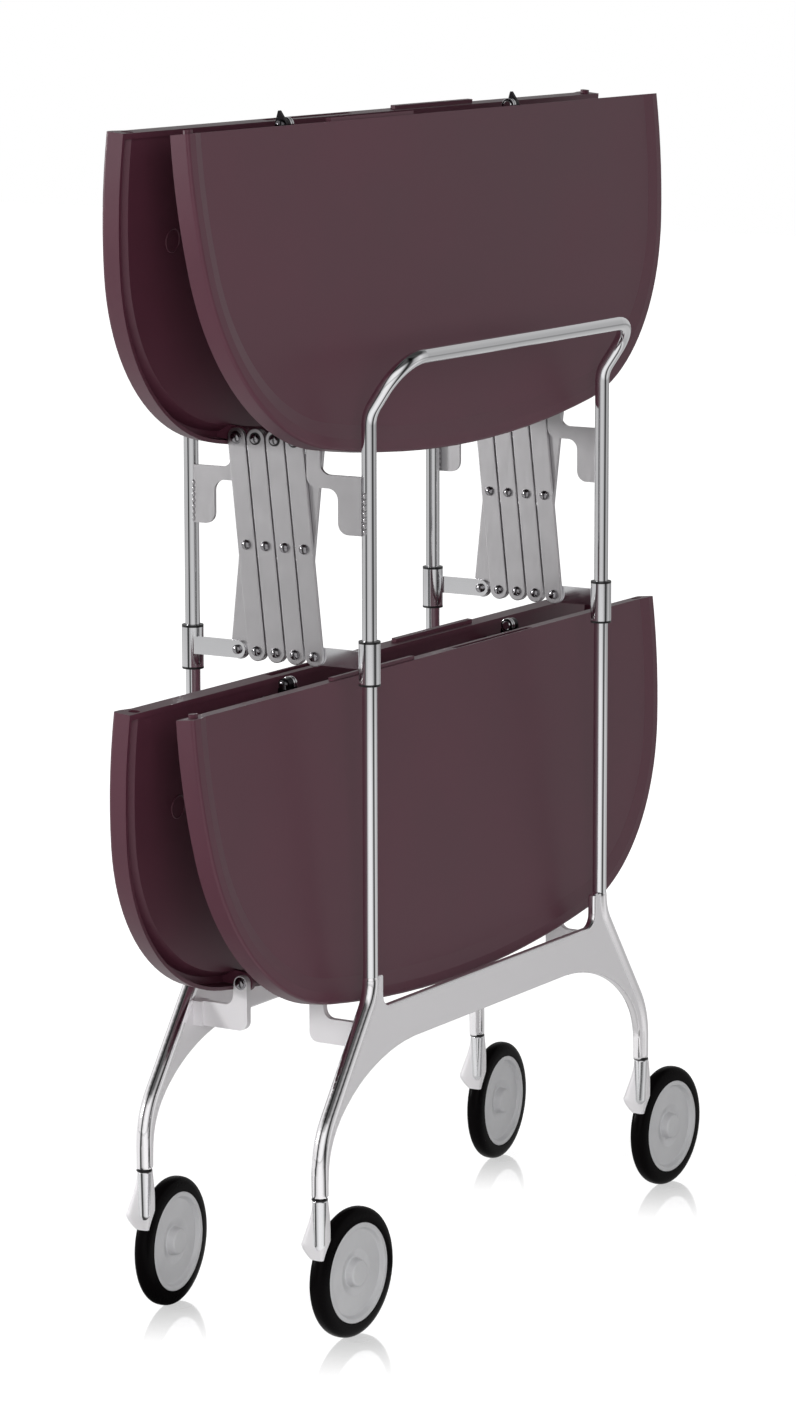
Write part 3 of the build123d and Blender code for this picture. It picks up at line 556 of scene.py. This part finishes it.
class TROLLEY_OT_finish_trays(bpy.types.Operator):
    """Give the tray halves their grained plastic and their round mould marks"""

    bl_idname = "trolley.finish_trays"
    bl_label = "Finish Trays"

    def execute(self, context):
        plastic = moulded_tray_plastic(context.scene.trolley_look)
        paint("tray_half", plastic)
        for level in TRAY_PINS:
            for end in ENDS:
                self.mould_marks(level, end, context.scene.trolley_fittings.mark_radius, plastic)
        return {"FINISHED"}

    def mould_marks(self, level, end, radius, plastic):
        """Two low rings on the flat inner face of a half, where the plastic entered the mould.

        Section of a ring: r = radius + half_width cos s, a = rise sin s.
        """
        from_middle, below_pin, panel_depth = 0.253, 0.0765, 0.0208
        half_width, rise = 0.0006, 0.0005
        way = ENDS[end]
        away = np.array([0, way * math.sin(TRAY_LEAN), -math.cos(TRAY_LEAN)])
        inward = np.array([0, -way * math.cos(TRAY_LEAN), -math.sin(TRAY_LEAN)])
        swing = np.linspace(0, 2 * math.pi, 13)
        section = np.stack([radius + half_width * np.cos(swing), rise * np.sin(swing)], axis=1)
        grids = []
        for side in BOTH_SIDES:
            pin = np.array([side * from_middle, 0, TRAY_PINS[level]])
            centre = pin + away * below_pin - inward * panel_depth
            grids.append(turned_grid(section, centre, inward, 40))
        name = level + "_" + end
        make_piece(name + "_mould_marks", grids, plastic, name + "_half")


class TROLLEY_OT_finish_frames(bpy.types.Operator):
    """Chrome the handle tubes, steel the brackets, and blend the leg castings"""

    bl_idname = "trolley.finish_frames"
    bl_label = "Finish Frames"

    def execute(self, context):
        look = context.scene.trolley_look
        paint("handle_tube", polished_plate("chromed_steel_tube", look.chrome, 0.03, 0.07))
        bracket = rolled_steel("nickel_plated_steel_bracket", look.link_steel, 0.34)
        paint("upper_brackets", bracket)
        alloy = cast_metal("cast_aluminium", look.cast_alloy)
        paint("lower_brackets", alloy)
        for end, way in ENDS.items():
            self.weld_beads(end, way, bracket)
            self.swivel_rings(end, way)
            self.blended_casting(end, way, alloy, context.scene.trolley_fittings.casting_voxel)
        return {"FINISHED"}

    def weld_beads(self, end, way, bracket):
        """Rows of small beads where the bracket plates are welded to the tubes."""
        radius, half_height, pitch, first, count = 0.0011, 0.0021, 0.0042, 0.003, 7
        bead = mirrored(dome(radius, half_height, 6))
        grids = []
        for side in BOTH_SIDES:
            plate = INNER_LAYER if side * way < 0 else OUTER_LAYER
            for face in (plate, plate + LINK_THICKNESS):
                depth = FRAME_DEPTH - math.sqrt(max(0, TUBE_RADIUS**2 - (face - TUBE_PLACE) ** 2))
                for step in range(count):
                    centre = (side * face, way * depth, TAB_FOOT + first + pitch * step)
                    grids.append(turned_grid(bead, centre, (0, 0, 1), 12))
        make_piece(end + "_weld_beads", grids, bracket, end + "_frame", 60.0)

    def swivel_rings(self, end, way):
        """Thin black ring between each foot of the casting and its caster."""
        bore, half_height, middle, ease = 0.0032, 0.0005, 0.1103, 0.0003
        section = rounded_profile(ring_section(bore, RIB_RADIUS, -half_height, half_height), ease)
        grids = [
            turned_grid(section, (side * CASTER_PLACE, way * FRAME_DEPTH, middle), (0, 0, 1), 40)
            for side in BOTH_SIDES
        ]
        make_piece(end + "_swivel_rings", grids, bush_acetal(), end + "_frame")

    def blended_casting(self, end, way, alloy, voxel):
        """Copy of the casting with its ribs flowing into the web, as cast metal does."""
        node = end + "_leg_casting"
        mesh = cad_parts[node].data.copy()
        work = bmesh.new()
        work.from_mesh(mesh)
        bmesh.ops.remove_doubles(work, verts=work.verts, dist=1e-6)
        work.to_mesh(mesh)
        work.free()
        piece = bpy.data.objects.new(end + "_legs_blended", mesh)
        bpy.context.scene.collection.objects.link(piece)
        remesh = piece.modifiers.new("Blend", "REMESH")
        remesh.mode = "VOXEL"
        remesh.voxel_size = voxel
        soften = piece.modifiers.new("Soften", "SMOOTH")
        soften.factor = 0.5
        soften.iterations = 5
        flowed = piece.evaluated_get(bpy.context.evaluated_depsgraph_get())
        done = bpy.data.meshes.new_from_object(flowed)
        piece.modifiers.clear()
        piece.data = done
        done.name = piece.name
        done.shade_smooth()
        done.materials.clear()
        done.materials.append(alloy)
        self.draw_and_polish(done, way)
        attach(piece, end + "_frame")
        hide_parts(node)

    def draw_and_polish(self, mesh, way):
        """Narrow the webs, and mark all but the flats of the web as polished.

        The flats face along Y at the depth of the web: both shares fall from one to nothing
        over a short span, and their product is the share that stays blasted.
        """
        facing_start, facing_span, web_depth, depth_span = 0.75, 0.2, 0.0042, 0.0006
        count = len(mesh.vertices)
        points = np.empty(count * 3)
        normals = np.empty(count * 3)
        mesh.vertices.foreach_get("co", points)
        mesh.vertex_normals.foreach_get("vector", normals)
        places = points.reshape(-1, 3)
        depth = np.abs(places[:, 1] - way * FRAME_DEPTH)
        places[:, 0] = self.drawn_in(places[:, 0], places[:, 2])
        mesh.vertices.foreach_set("co", places.ravel())
        facing = np.abs(normals.reshape(-1, 3)[:, 1])
        level = np.clip((facing - facing_start) / facing_span, 0, 1)
        flat = level * np.clip((web_depth - depth) / depth_span, 0, 1)
        polish = mesh.attributes.new("polish", "FLOAT", "POINT")
        polish.data.foreach_set("value", 1 - flat)

    def drawn_in(self, across, height):
        """Places along X with the web of each leg narrowed towards the foot.

        Past the rib, the distance from the leg's own axis is multiplied by a smooth step that
        grows from a fifth at the foot to one at WEB_TOP. The axis runs one rib inside the
        outermost point at each height.
        """
        levels = np.linspace(FOOT_HEIGHT, WEB_TOP, 24)
        band = (levels[1] - levels[0]) / 2
        outermost = [np.abs(across[np.abs(height - level) <= band]).max() for level in levels]
        axis = np.interp(height, levels, outermost) - RIB_RADIUS
        step = np.clip((height - FOOT_HEIGHT) / (WEB_TOP - FOOT_HEIGHT), 0, 1)
        share = 0.2 + 0.8 * (3 * step**2 - 2 * step**3)
        inward = axis - np.abs(across)
        narrowed = axis - RIB_RADIUS - (inward - RIB_RADIUS) * share
        past = (inward > RIB_RADIUS) & (height < WEB_TOP)
        return np.sign(across) * np.where(past, narrowed, np.abs(across))


class TROLLEY_OT_fit_linkage(bpy.types.Operator):
    """Give the bars their steel and fit domed rivets and pivot pins"""

    bl_idname = "trolley.fit_linkage"
    bl_label = "Fit Linkage"

    def execute(self, context):
        sizes = context.scene.trolley_fittings
        steel = rolled_steel("nickel_plated_steel_link", context.scene.trolley_look.link_steel, 0.33)
        for end in ENDS:
            for side in SIDES:
                self.bars(end, side, steel)
        # The tone of rivets and pins, darker than the chrome, is a painted dark reflection on their domes
        bright = polished_plate("polished_steel_rivet", linear("#8E8C8F"), 0.05, 0.09)
        # For each body: pitches from the middle, row, and the span and washer of its rivets; the black
        # washers paint the tray's shadow round the top row's heads
        rows = {
            "link_2": ((1.5, MIDDLE_ROW, "both", 0.0), (1.0, TOP_ROW, "both", sizes.washer)),
            "link_3": ((0.0, FOOT_ROW, "odd", 0.0),),
            "link_4": (
                (0.5, MIDDLE_ROW, "both", 0.0),
                (1.0, FOOT_ROW, "both", 0.0),
                (0.0, TOP_ROW, "even", sizes.washer),
            ),
        }
        for end in ENDS:
            for body, places in rows.items():
                self.rivets(end, body, places, sizes, bright)
            self.pivot_pins(end, bright)
        return {"FINISHED"}

    def bars(self, end, side_name, steel):
        """Four flat bars with softened edges in place of the plain ones.

        Each bar runs from a pivot of the top row to one of the foot row, both counted in
        pitches from the middle, and the odd and the even ones lie in turn in either layer.
        """
        way, side = ENDS[end], SIDES[side_name]
        for number, (top, foot) in enumerate(((2, 1), (1, 2), (1, 0), (0, 1)), start=1):
            low = layer_of(side, way, number % 2 == 1)
            ends = (way * top * LINK_PITCH, TOP_ROW), (way * foot * LINK_PITCH, FOOT_ROW)
            high = low + LINK_THICKNESS
            grid = bar_grid(ends, side * low, side * high, LINK_WIDTH / 2, LINK_EASE)
            node = end + "_" + side_name + "_link_" + str(number)
            body = end + "_link_" + str(number)
            piece = make_piece(node + "_eased", [grid], steel, body, 50.0)
            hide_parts(node)

    def rivets(self, end, body, places, sizes, bright):
        """Domed rivets of one body on both sides, and black washers under the top row's heads that paint
        the tray's shadow there.
        """
        shank, steps = 0.002, 28
        grids = []
        seats = []
        for side in BOTH_SIDES:
            for pitches, height, span, washer in places:
                middle, thick, free = stack_span(side, ENDS[end], span)
                both = span == "both"
                profile = rivet_profile(thick, shank, sizes.rivet_head, sizes.rivet_rise, both=both)
                centre = (middle, ENDS[end] * pitches * LINK_PITCH, height)
                grids.append(turned_grid(profile, centre, (free, 0, 0), steps))
                if washer:
                    ring = washer_profile(thick / 2, shank, washer, both)
                    seats.append(turned_grid(ring, centre, (free, 0, 0), steps))
        name = end + "_" + body
        piece = make_piece(name + "_domed_rivets", grids, bright, name)
        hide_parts(name + "_rivets")
        if seats:
            # Black rings round the top row's heads: painted shadow of the tray
            make_piece(name + "_painted_shade_washers", seats, bush_acetal(), name)

    def pivot_pins(self, end, bright):
        """Pins through the tray lugs and the brackets, with a washer under each domed head."""
        shank, head, rise, washer = 0.0025, 0.0034, 0.0019, 0.0046
        grids = []
        for side in BOTH_SIDES:
            for height, outer in ((TOP_ROW, OUTER_LAYER + LINK_THICKNESS), (LOWER_ROW, LOWER_BRACKET_FACE)):
                profile = rivet_profile(outer - LUG_INNER, shank, head, rise, washer)
                centre = (side * (outer + LUG_INNER) / 2, ENDS[end] * TRAY_PIVOT, height)
                grids.append(turned_grid(profile, centre, (1, 0, 0), 28))
        piece = make_piece(end + "_domed_pins", grids, bright, end + "_frame")
        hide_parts(end + "_pivot_pins")


class TROLLEY_OT_fit_collars(bpy.types.Operator):
    """Chrome the sliding collars, blacken their bushes, and cap their studs"""

    bl_idname = "trolley.fit_collars"
    bl_label = "Fit Collars"

    def execute(self, context):
        chrome = context.scene.trolley_look.chrome
        paint("_collar", polished_plate("chromed_steel_collar", chrome, 0.06, 0.12))
        paint("collar_bushes", bush_acetal())
        # The studs' tone, darker than the chrome, is a painted dark reflection on their domes
        painted_dark_stud = polished_plate("polished_steel_stud", linear("#949295"), 0.05, 0.09)
        for end in ENDS:
            self.stud_caps(end, painted_dark_stud)
        return {"FINISHED"}

    def stud_caps(self, end, painted_dark_stud):
        """Domed head on each free face of the arm and the link together, its dark tone a painted
        reflection.
        """
        radius, rise, foot, shoulder = 0.0034, 0.0016, 0.0003, 0.00125
        grids = []
        for side in BOTH_SIDES:
            middle, thick, _ = stack_span(side, ENDS[end])
            skirt = np.array([(0.0, thick / 2 + foot), (radius, thick / 2 + foot)])
            profile = np.concatenate([skirt, dome(radius, rise) + (0, thick / 2 + shoulder)])
            centre = (middle, ENDS[end] * TRAY_PIVOT, FOOT_ROW)
            grids += [turned_grid(profile, centre, (face, 0, 0), 28) for face in BOTH_SIDES]
        make_piece(end + "_stud_caps", grids, painted_dark_stud, end + "_collars")


class TROLLEY_OT_fit_hinges(bpy.types.Operator):
    """Finish the centre hinges of both trays"""

    bl_idname = "trolley.fit_hinges"
    bl_label = "Fit Hinges"

    def execute(self, context):
        leaf = polished_plate("blackened_steel_hinge_leaf", linear("#2A272A"), 0.22, 0.32)
        paint("hinge_leaves", leaf)
        pin = polished_plate("polished_steel_hinge_pin", linear("#DADADC"), 0.05, 0.1)
        paint("hinge_pins", pin)
        # Polished head: its dark tone is a painted dark reflection
        painted_dark_head = polished_plate("smoked_steel_hinge_head", linear("#5C5A5D"), 0.05, 0.1)
        for level in TRAY_PINS:
            self.pin_heads(level, pin, painted_dark_head)
        return {"FINISHED"}

    def pin_heads(self, level, pin, painted_dark_head):
        """Domed head at the outer end of each hinge pin, its dark tone a painted reflection of the dark
        studio, and two bright bands round its knuckle.
        """
        radius, rise = 0.0037, 0.0015
        bore, reach, band_width, band_places = 0.0046, 0.0052, 0.0015, (0.0002, 0.0026)
        low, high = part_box(level + "_hinge_pins")
        height = (low[2] + high[2]) / 2
        head = np.concatenate([[(0, 0)], dome(radius, rise)])
        band = rounded_profile(ring_section(bore, reach, 0.0, band_width), 0.0003)
        heads = []
        bands = []
        for side in BOTH_SIDES:
            heads.append(turned_grid(head, (side * HINGE_OUTER, 0, height), (side, 0, 0), 28))
            for place in band_places:
                start = (side * (HINGE_INNER + place), 0, height)
                bands.append(turned_grid(band, start, (side, 0, 0), 32))
        body = level + "_front_half"
        make_piece(level + "_pin_heads", heads, painted_dark_head, body)
        make_piece(level + "_knuckle_bands", bands, pin, body)


class TROLLEY_OT_fit_casters(bpy.types.Operator):
    """Plate the forks and turn the wheel discs and tyres"""

    bl_idname = "trolley.fit_casters"
    bl_label = "Fit Casters"

    def execute(self, context):
        look = context.scene.trolley_look
        bright = polished_plate("polished_zinc_fork", look.chrome, 0.1, 0.16)
        satin = cast_metal("satin_cast_zinc", look.cast_alloy)
        grey = wheel_polyamide(look.wheel_grey)
        black = tyre_rubber(look.tyre_black)
        for end, way in ENDS.items():
            yaw = math.radians(YAW[end])
            along = np.array([math.cos(yaw), math.sin(yaw), 0])
            beside = np.array([-math.sin(yaw), math.cos(yaw), 0])
            for side_name, side in SIDES.items():
                name = end + "_" + side_name + "_"
                base = np.array([side * CASTER_PLACE, way * FRAME_DEPTH, 0])
                self.fork(name, base, along, beside, bright, satin)
                self.wheel(name, beside, grey, black)
        return {"FINISHED"}

    def fork(self, name, base, along, beside, bright, satin):
        """Fork as cast: a bright round column before a satin flank that flares and draws in."""
        turn = np.stack([along, beside, (0, 0, 1)])
        body = name + "caster"
        stem_radius, stem_foot, stem_top = 0.003, 0.1040, 0.1407
        axle_radius, axle_end = 0.0039, -0.0010
        hub = base + along * TRAIL + (0, 0, WHEEL_RADIUS)
        grids = [
            self.flank() @ turn + base,
            self.blade() @ turn + base,
            turned_grid(rod(stem_radius, stem_foot, stem_top), base, (0, 0, 1), 24),
            turned_grid(rod(axle_radius, axle_end, BLADE[1]), hub, beside, 24),
        ]
        piece = make_piece(name + "flared_fork", grids, satin, body, 40.0)
        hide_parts(name + "caster_fork")
        # Radius and height of the column's corners in mm
        corners = [(0, 74.0), (2.4, 74.0), (4.0, 77.0), (4.6, 92.0), (5.2, 109.9), (0, 109.9)]
        column = rounded_profile(np.array(corners) * MM, 0.0008)
        centre = base - along * 0.0011 - beside * 0.0008
        grid = turned_grid(column, centre, (0, 0, 1), 48)
        make_piece(name + "fork_column", [grid], bright, body)

    def flank(self):
        """Flared shoulder: a superellipse of power 3.4 at each height, in the caster's own frame.

        Its reach beside the column grows as 2 s^2 - s^3 down to the tip and falls off below it
        as u^1.6, and its back follows the tyre at a small clearance.
        """
        top, tip, foot, clearance = 0.1093, 0.0765, 0.0668, 0.0009
        neck, flare, fall = 0.0056, 0.0096, 0.0090
        height = np.concatenate([np.linspace(top, tip, 22), np.linspace(tip, foot, 10)[1:]])
        s = np.clip((top - height) / (top - tip), 0, 1)
        u = np.clip((tip - height) / (tip - foot), 0, 1)
        reach = neck + flare * (2 * s**2 - s**3) - fall * u**1.6
        other = 0.0050 + 0.0008 * np.sin(math.pi * s) - 0.0012 * u
        front = 0.0024 + 0.0012 * s
        above_hub = np.clip(height - WHEEL_RADIUS, 0, WHEEL_RADIUS)
        tyre = TRAIL - np.sqrt((WHEEL_RADIUS + clearance) ** 2 - above_hub**2)
        back = np.minimum(0.0050 + 0.0040 * s, tyre)
        turn = np.linspace(0, 2 * math.pi, 56, endpoint=False)
        bend = 2 / 3.4
        wide = np.sign(np.cos(turn)) * np.abs(np.cos(turn)) ** bend
        deep = np.sign(np.sin(turn)) * np.abs(np.sin(turn)) ** bend
        x = ((back - front) / 2)[:, None] + ((back + front) / 2)[:, None] * wide
        y = ((reach - other) / 2)[:, None] + ((reach + other) / 2)[:, None] * deep
        return closed_ends(np.stack([x, y, np.repeat(height[:, None], len(turn), axis=1)], axis=2))

    def blade(self):
        """Tapered blade: the hull of a small circle at the shoulder and a larger one at the hub."""
        (x0, z0, r0), (x1, z1, r1) = (0.0058, 0.0765, 0.0048), (TRAIL, WHEEL_RADIUS, 0.0090)
        lean = math.atan2(z1 - z0, x1 - x0)
        touch = math.acos((r0 - r1) / math.hypot(x1 - x0, z1 - z0))
        counts = [20, 16]
        swing = lean + np.concatenate([
            np.linspace(-touch, touch, counts[0]),
            np.linspace(touch, 2 * math.pi - touch, counts[1]),
        ])
        centre = np.repeat([(x1, z1), (x0, z0)], counts, axis=0)
        radius = np.repeat([r1, r0], counts)
        # Steps of the rounded edges, in from each face
        step = np.array([0.0, 0.0002, 0.0008])
        ease = np.concatenate([step[::-1], step])
        depth = np.concatenate([BLADE[0] + step, (BLADE[1] - step)[::-1]])
        ring = np.stack([np.cos(swing), np.sin(swing)], axis=1)
        flat = centre[None] + (radius[None, :] - ease[:, None])[:, :, None] * ring[None]
        deep = np.repeat(depth[:, None], len(swing), axis=1)
        return closed_ends(np.stack([flat[:, :, 0], deep, flat[:, :, 1]], axis=2))

    def wheel(self, name, axle, grey, black):
        """Disc and tyre as turned profiles about the axle, with rounded lips and a parting line."""
        low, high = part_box(name + "tyre")
        centre = (np.array(low) + np.array(high)) / 2
        for kind, node, profile, steps, made, slot in (
            ("dished_disc", "wheel_disc", self.disc_profile(), 96, grey, "wheel_grey"),
            ("rounded_tyre", "tyre", self.tyre_profile(), 128, black, "tyre"),
        ):
            grid = turned_grid(profile, centre, axle, steps)
            piece = make_piece(name + kind, [grid], made, name + "wheel", 50.0)
            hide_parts(name + node)

    def disc_profile(self):
        """Corner points of the dished disc in mm, each rounded by a short quadratic curve."""
        corners = np.array([
            (0.0, -7.9), (8.4, -7.9), (9.4, -7.0), (10.2, -1.6), (11.6, -1.5), (17.0, -3.7),
            (31.2, -2.7), (32.6, -6.4), (36.0, -6.4),
            (36.0, 6.5), (33.6, 6.5), (32.8, -0.4), (10.9, -0.6), (10.5, 7.2), (4.1, 7.2),
            (4.1, -5.0), (0.0, -5.0),
        ])
        return rounded_profile(corners * MM, 0.0008)

    def tyre_profile(self):
        """Closed section of the tyre: |r/R|^p + |a/A|^p = 1 outside its seat, in mm.

        A thin parting line stands out at the middle as a narrow bell curve.
        """
        seat, crown, half_width, line, line_spread = 36.15, 10.6, 6.5, 0.05, 0.05
        bend = 2 / 2.9
        swing = np.linspace(-math.pi / 2, math.pi / 2, 41)
        out = np.abs(np.cos(swing)) ** bend * crown
        over = np.sign(np.sin(swing)) * np.abs(np.sin(swing)) ** bend * half_width
        parting = line * np.exp(-((swing / line_spread) ** 2))
        outside = np.stack([seat + out + parting, over], axis=1)
        inside = np.array([(seat, half_width), (seat, -half_width)])
        return np.concatenate([outside, inside, outside[:1]]) * MM


class TROLLEY_OT_set_stage(bpy.types.Operator):
    """Lay the floor, light the studio and aim the camera"""

    bl_idname = "trolley.set_stage"
    bl_label = "Set Stage"

    def execute(self, context):
        stage = context.scene.trolley_stage
        self.floor(self.floor_finish(stage))
        self.surroundings(context.scene, stage)
        power = stage.key_power
        key = self.lamp("key_lamp", (-1.9, -1.4, 0.95), (0, 0, 0.42), 1.1, power)
        self.lamp("side_lamp", (-1.5, 1.9, 0.9), (0, 0, 0.5), 0.35, power * 1.1)
        low = self.lamp("low_lamp", (1.6, -1.0, 0.3), (0, -0.05, 0.25), 0.5, power * 0.06)
        # Mirrors show the screens of the studio and the small side lamp, not these two
        key.visible_glossy = False
        low.visible_glossy = False
        self.camera(context.scene, stage)
        context.scene.view_settings.view_transform = "Standard"
        return {"FINISHED"}

    def floor(self, made):
        """Level square that reaches far past the object on all sides."""
        reach = 9.0
        corners = [(-reach, -reach, 0), (reach, -reach, 0), (reach, reach, 0), (-reach, reach, 0)]
        mesh = bpy.data.meshes.new("studio_floor")
        mesh.from_pydata(corners, [], [(0, 1, 2, 3)])
        mesh.materials.append(made)
        floor = bpy.data.objects.new("studio_floor", mesh)
        bpy.context.scene.collection.objects.link(floor)

    def floor_finish(self, stage):
        """White lacquered floor: it keeps the shadow, mirrors the wheels close to where they
        stand, and shows mirrors the same screens as the walls of the studio do."""
        made, tree, output, place = material("white_lacquered_floor")
        rays = add(tree, "ShaderNodeLightPath").outputs
        parts = add(tree, "ShaderNodeSeparateXYZ", None, {0: place})
        far = add(tree, "ShaderNodeVectorMath", {"operation": "LENGTH"}, {0: place}).outputs["Value"]
        matt = add(tree, "ShaderNodeBsdfDiffuse", None, {"Color": colour(linear("#F0F0F0"))})
        lift = remap(tree, far, 0.4, 1.1, 0.78, 0.95)
        seen_glow = glow(tree, calc(tree, "MULTIPLY", lift, rays["Is Camera Ray"]))
        plain = summed(tree, matt.outputs[0], seen_glow)
        mirror = add(tree, "ShaderNodeBsdfGlossy", None, {"Color": (1, 1, 1, 1), "Roughness": 0.07})
        # What the grey screen opposite the camera lacks to white is added, so no halo shows
        fill = glow(tree, calc(tree, "MULTIPLY", 1.0 - OPPOSITE_LEVEL, rays["Is Camera Ray"]))
        wet = summed(tree, mirror.outputs[0], fill)
        # The mirror fades with the distance from the nearest wheel
        near = self.nearest_wheel(tree, place)
        fade = remap(tree, near, 0.0, 0.15, stage.floor_gloss, 0.0, "SMOOTHSTEP")
        seen = mixed(tree, fade, plain, wet)
        screens = glow(tree, remap(tree, far, 2.2, 3.3, 1.0, 0.66), self.ring(tree, parts))
        shown = mixed(tree, rays["Is Glossy Ray"], seen, screens)
        tree.links.new(shown, output.inputs["Surface"])
        return made

    def nearest_wheel(self, tree, place):
        """Distance from a place on the floor to where the nearest wheel touches it."""
        near = None
        for end in ENDS:
            for side in SIDES:
                low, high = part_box(end + "_" + side + "_tyre")
                contact = ((low[0] + high[0]) / 2, (low[1] + high[1]) / 2, 0)
                node = add(tree, "ShaderNodeVectorMath", {"operation": "DISTANCE"}, {0: place, 1: contact})
                reach = node.outputs["Value"]
                near = reach if near is None else calc(tree, "MINIMUM", near, reach)
        return near

    def ring(self, tree, way):
        """Grey and dark screens round the studio, by the bearing of a direction or a place.

        Half a turn is where the camera stands, and the share grows to the right of it. Each
        stop is a bearing from the camera's side, in degrees, and the level of light there.
        """
        camera_bearing = 148.6
        around = calc(tree, "ARCTAN2", way.outputs["Y"], way.outputs["X"])
        share = calc(tree, "MULTIPLY_ADD", around, 1 / (2 * math.pi), camera_bearing / 360 + 0.5)
        ramp = add(tree, "ShaderNodeValToRGB", None, {0: calc(tree, "FRACT", share)})
        stops = (
            (-180, OPPOSITE_LEVEL), (-150, 0.6), (-128, 0.9), (-100, 0.85), (-75, 0.85), (-60, 0.8),
            (-54, 0.05), (-42, 0.05), (-34, 0.6), (-25, 0.78), (-12, 0.98), (14, 0.98), (28, 0.85),
            (42, 0.4), (50, 0.04), (62, 0.04), (72, 0.45), (92, 0.8), (105, 0.6), (117, 0.45),
            (148, 0.6), (180, OPPOSITE_LEVEL),
        )
        first, last = ramp.color_ramp.elements
        first.position, first.color = 0.0, (stops[0][1],) * 3 + (1,)
        last.position, last.color = 1.0, (stops[-1][1],) * 3 + (1,)
        for bearing, level in stops[1:-1]:
            ramp.color_ramp.elements.new(0.5 + bearing / 360).color = (level,) * 3 + (1,)
        return ramp.outputs["Color"]

    def surroundings(self, scene, stage):
        """White room: even for matt surfaces, and with grey and dark screens for mirrors."""
        world = bpy.data.worlds.new("white_studio")
        scene.world = world
        world.use_nodes = True
        tree = world.node_tree
        tree.nodes.clear()
        output = add(tree, "ShaderNodeOutputWorld")
        rays = add(tree, "ShaderNodeLightPath").outputs
        direction = add(tree, "ShaderNodeTexCoord").outputs["Generated"]
        way = add(tree, "ShaderNodeSeparateXYZ", None, {0: direction})
        # Mirrors see a dark ceiling above the screens
        ceiling = remap(tree, way.outputs["Z"], 0.48, 0.72, 1.0, 0.1)
        screens = scaled(tree, self.ring(tree, way), ceiling)
        # Matt faces get little light from straight above
        roof = remap(tree, way.outputs["Z"], 0.25, 0.8, 1.0, 0.1)
        even = scaled(tree, (stage.daylight,) * 3, roof)
        lit = blend(tree, rays["Is Glossy Ray"], even, screens)
        clear = calc(tree, "MAXIMUM", rays["Is Camera Ray"], rays["Is Transmission Ray"])
        level = blend(tree, clear, lit, (1, 1, 1, 1))
        background = add(tree, "ShaderNodeBackground", None, {"Color": level})
        tree.links.new(background.outputs[0], output.inputs["Surface"])

    def lamp(self, name, place, aim, size, power):
        """Square soft lamp that faces its aim."""
        light = bpy.data.lights.new(name, "AREA")
        light.shape = "SQUARE"
        light.size = size
        light.energy = power
        lamp = bpy.data.objects.new(name, light)
        bpy.context.scene.collection.objects.link(lamp)
        lamp.location = place
        lamp.rotation_euler = (Vector(aim) - Vector(place)).to_track_quat("-Z", "Y").to_euler()
        return lamp

    def camera(self, scene, stage):
        """Camera with the bearing, height, roll and distance at which the photograph was taken."""
        bearing, height, roll = (math.radians(v) for v in (-58.59, 10.01, -0.11))
        target, distance = Vector((0.0299, 0.0225, 0.4060)), 3.559
        level = math.cos(height)
        back = Vector((math.sin(bearing) * level, -math.cos(bearing) * level, math.sin(height)))
        right = Vector((math.cos(bearing), math.sin(bearing), 0))
        up = back.cross(right)
        turned_right = right * math.cos(roll) + up * math.sin(roll)
        turned_up = up * math.cos(roll) - right * math.sin(roll)
        lens = bpy.data.cameras.new("camera")
        lens.sensor_fit = "HORIZONTAL"
        lens.sensor_width = 36.0
        lens.lens = stage.lens
        camera = bpy.data.objects.new("camera", lens)
        scene.collection.objects.link(camera)
        turn = Matrix((turned_right, turned_up, back)).transposed()
        camera.matrix_world = Matrix.Translation(target + back * distance) @ turn.to_4x4()
        scene.camera = camera


class TROLLEY_PT_sidebar(bpy.types.Panel):
    """Sizes, colours and steps of the trolley"""

    bl_label = "Folding Trolley"
    bl_space_type = "VIEW_3D"
    bl_region_type = "UI"
    bl_category = "Trolley"

    def draw(self, context):
        for name in GROUPS:
            group = getattr(context.scene, name)
            box = self.layout.box()
            for value in group.__annotations__:
                box.prop(group, value)
        for step in STEPS:
            self.layout.operator(step.bl_idname)


STEPS = (
    TROLLEY_OT_finish_trays,
    TROLLEY_OT_finish_frames,
    TROLLEY_OT_fit_linkage,
    TROLLEY_OT_fit_collars,
    TROLLEY_OT_fit_hinges,
    TROLLEY_OT_fit_casters,
    TROLLEY_OT_set_stage,
)
GROUPS = {
    "trolley_look": TrolleyLook,
    "trolley_fittings": TrolleyFittings,
    "trolley_stage": TrolleyStage,
}


def register():
    """Register the groups, the operators and the panel."""
    for name, group in GROUPS.items():
        bpy.utils.register_class(group)
        setattr(bpy.types.Scene, name, bpy.props.PointerProperty(type=group))
    for step in (*STEPS, TROLLEY_PT_sidebar):
        bpy.utils.register_class(step)


def unregister():
    """Take everything back in the opposite order."""
    for step in (TROLLEY_PT_sidebar, *reversed(STEPS)):
        bpy.utils.unregister_class(step)
    for name, group in reversed(GROUPS.items()):
        delattr(bpy.types.Scene, name)
        bpy.utils.unregister_class(group)


def main():
    register()
    bpy.ops.trolley.finish_trays()
    bpy.ops.trolley.finish_frames()
    bpy.ops.trolley.fit_linkage()
    bpy.ops.trolley.fit_collars()
    bpy.ops.trolley.fit_hinges()
    bpy.ops.trolley.fit_casters()
    bpy.ops.trolley.set_stage()


if __name__ == "__main__":
    main()
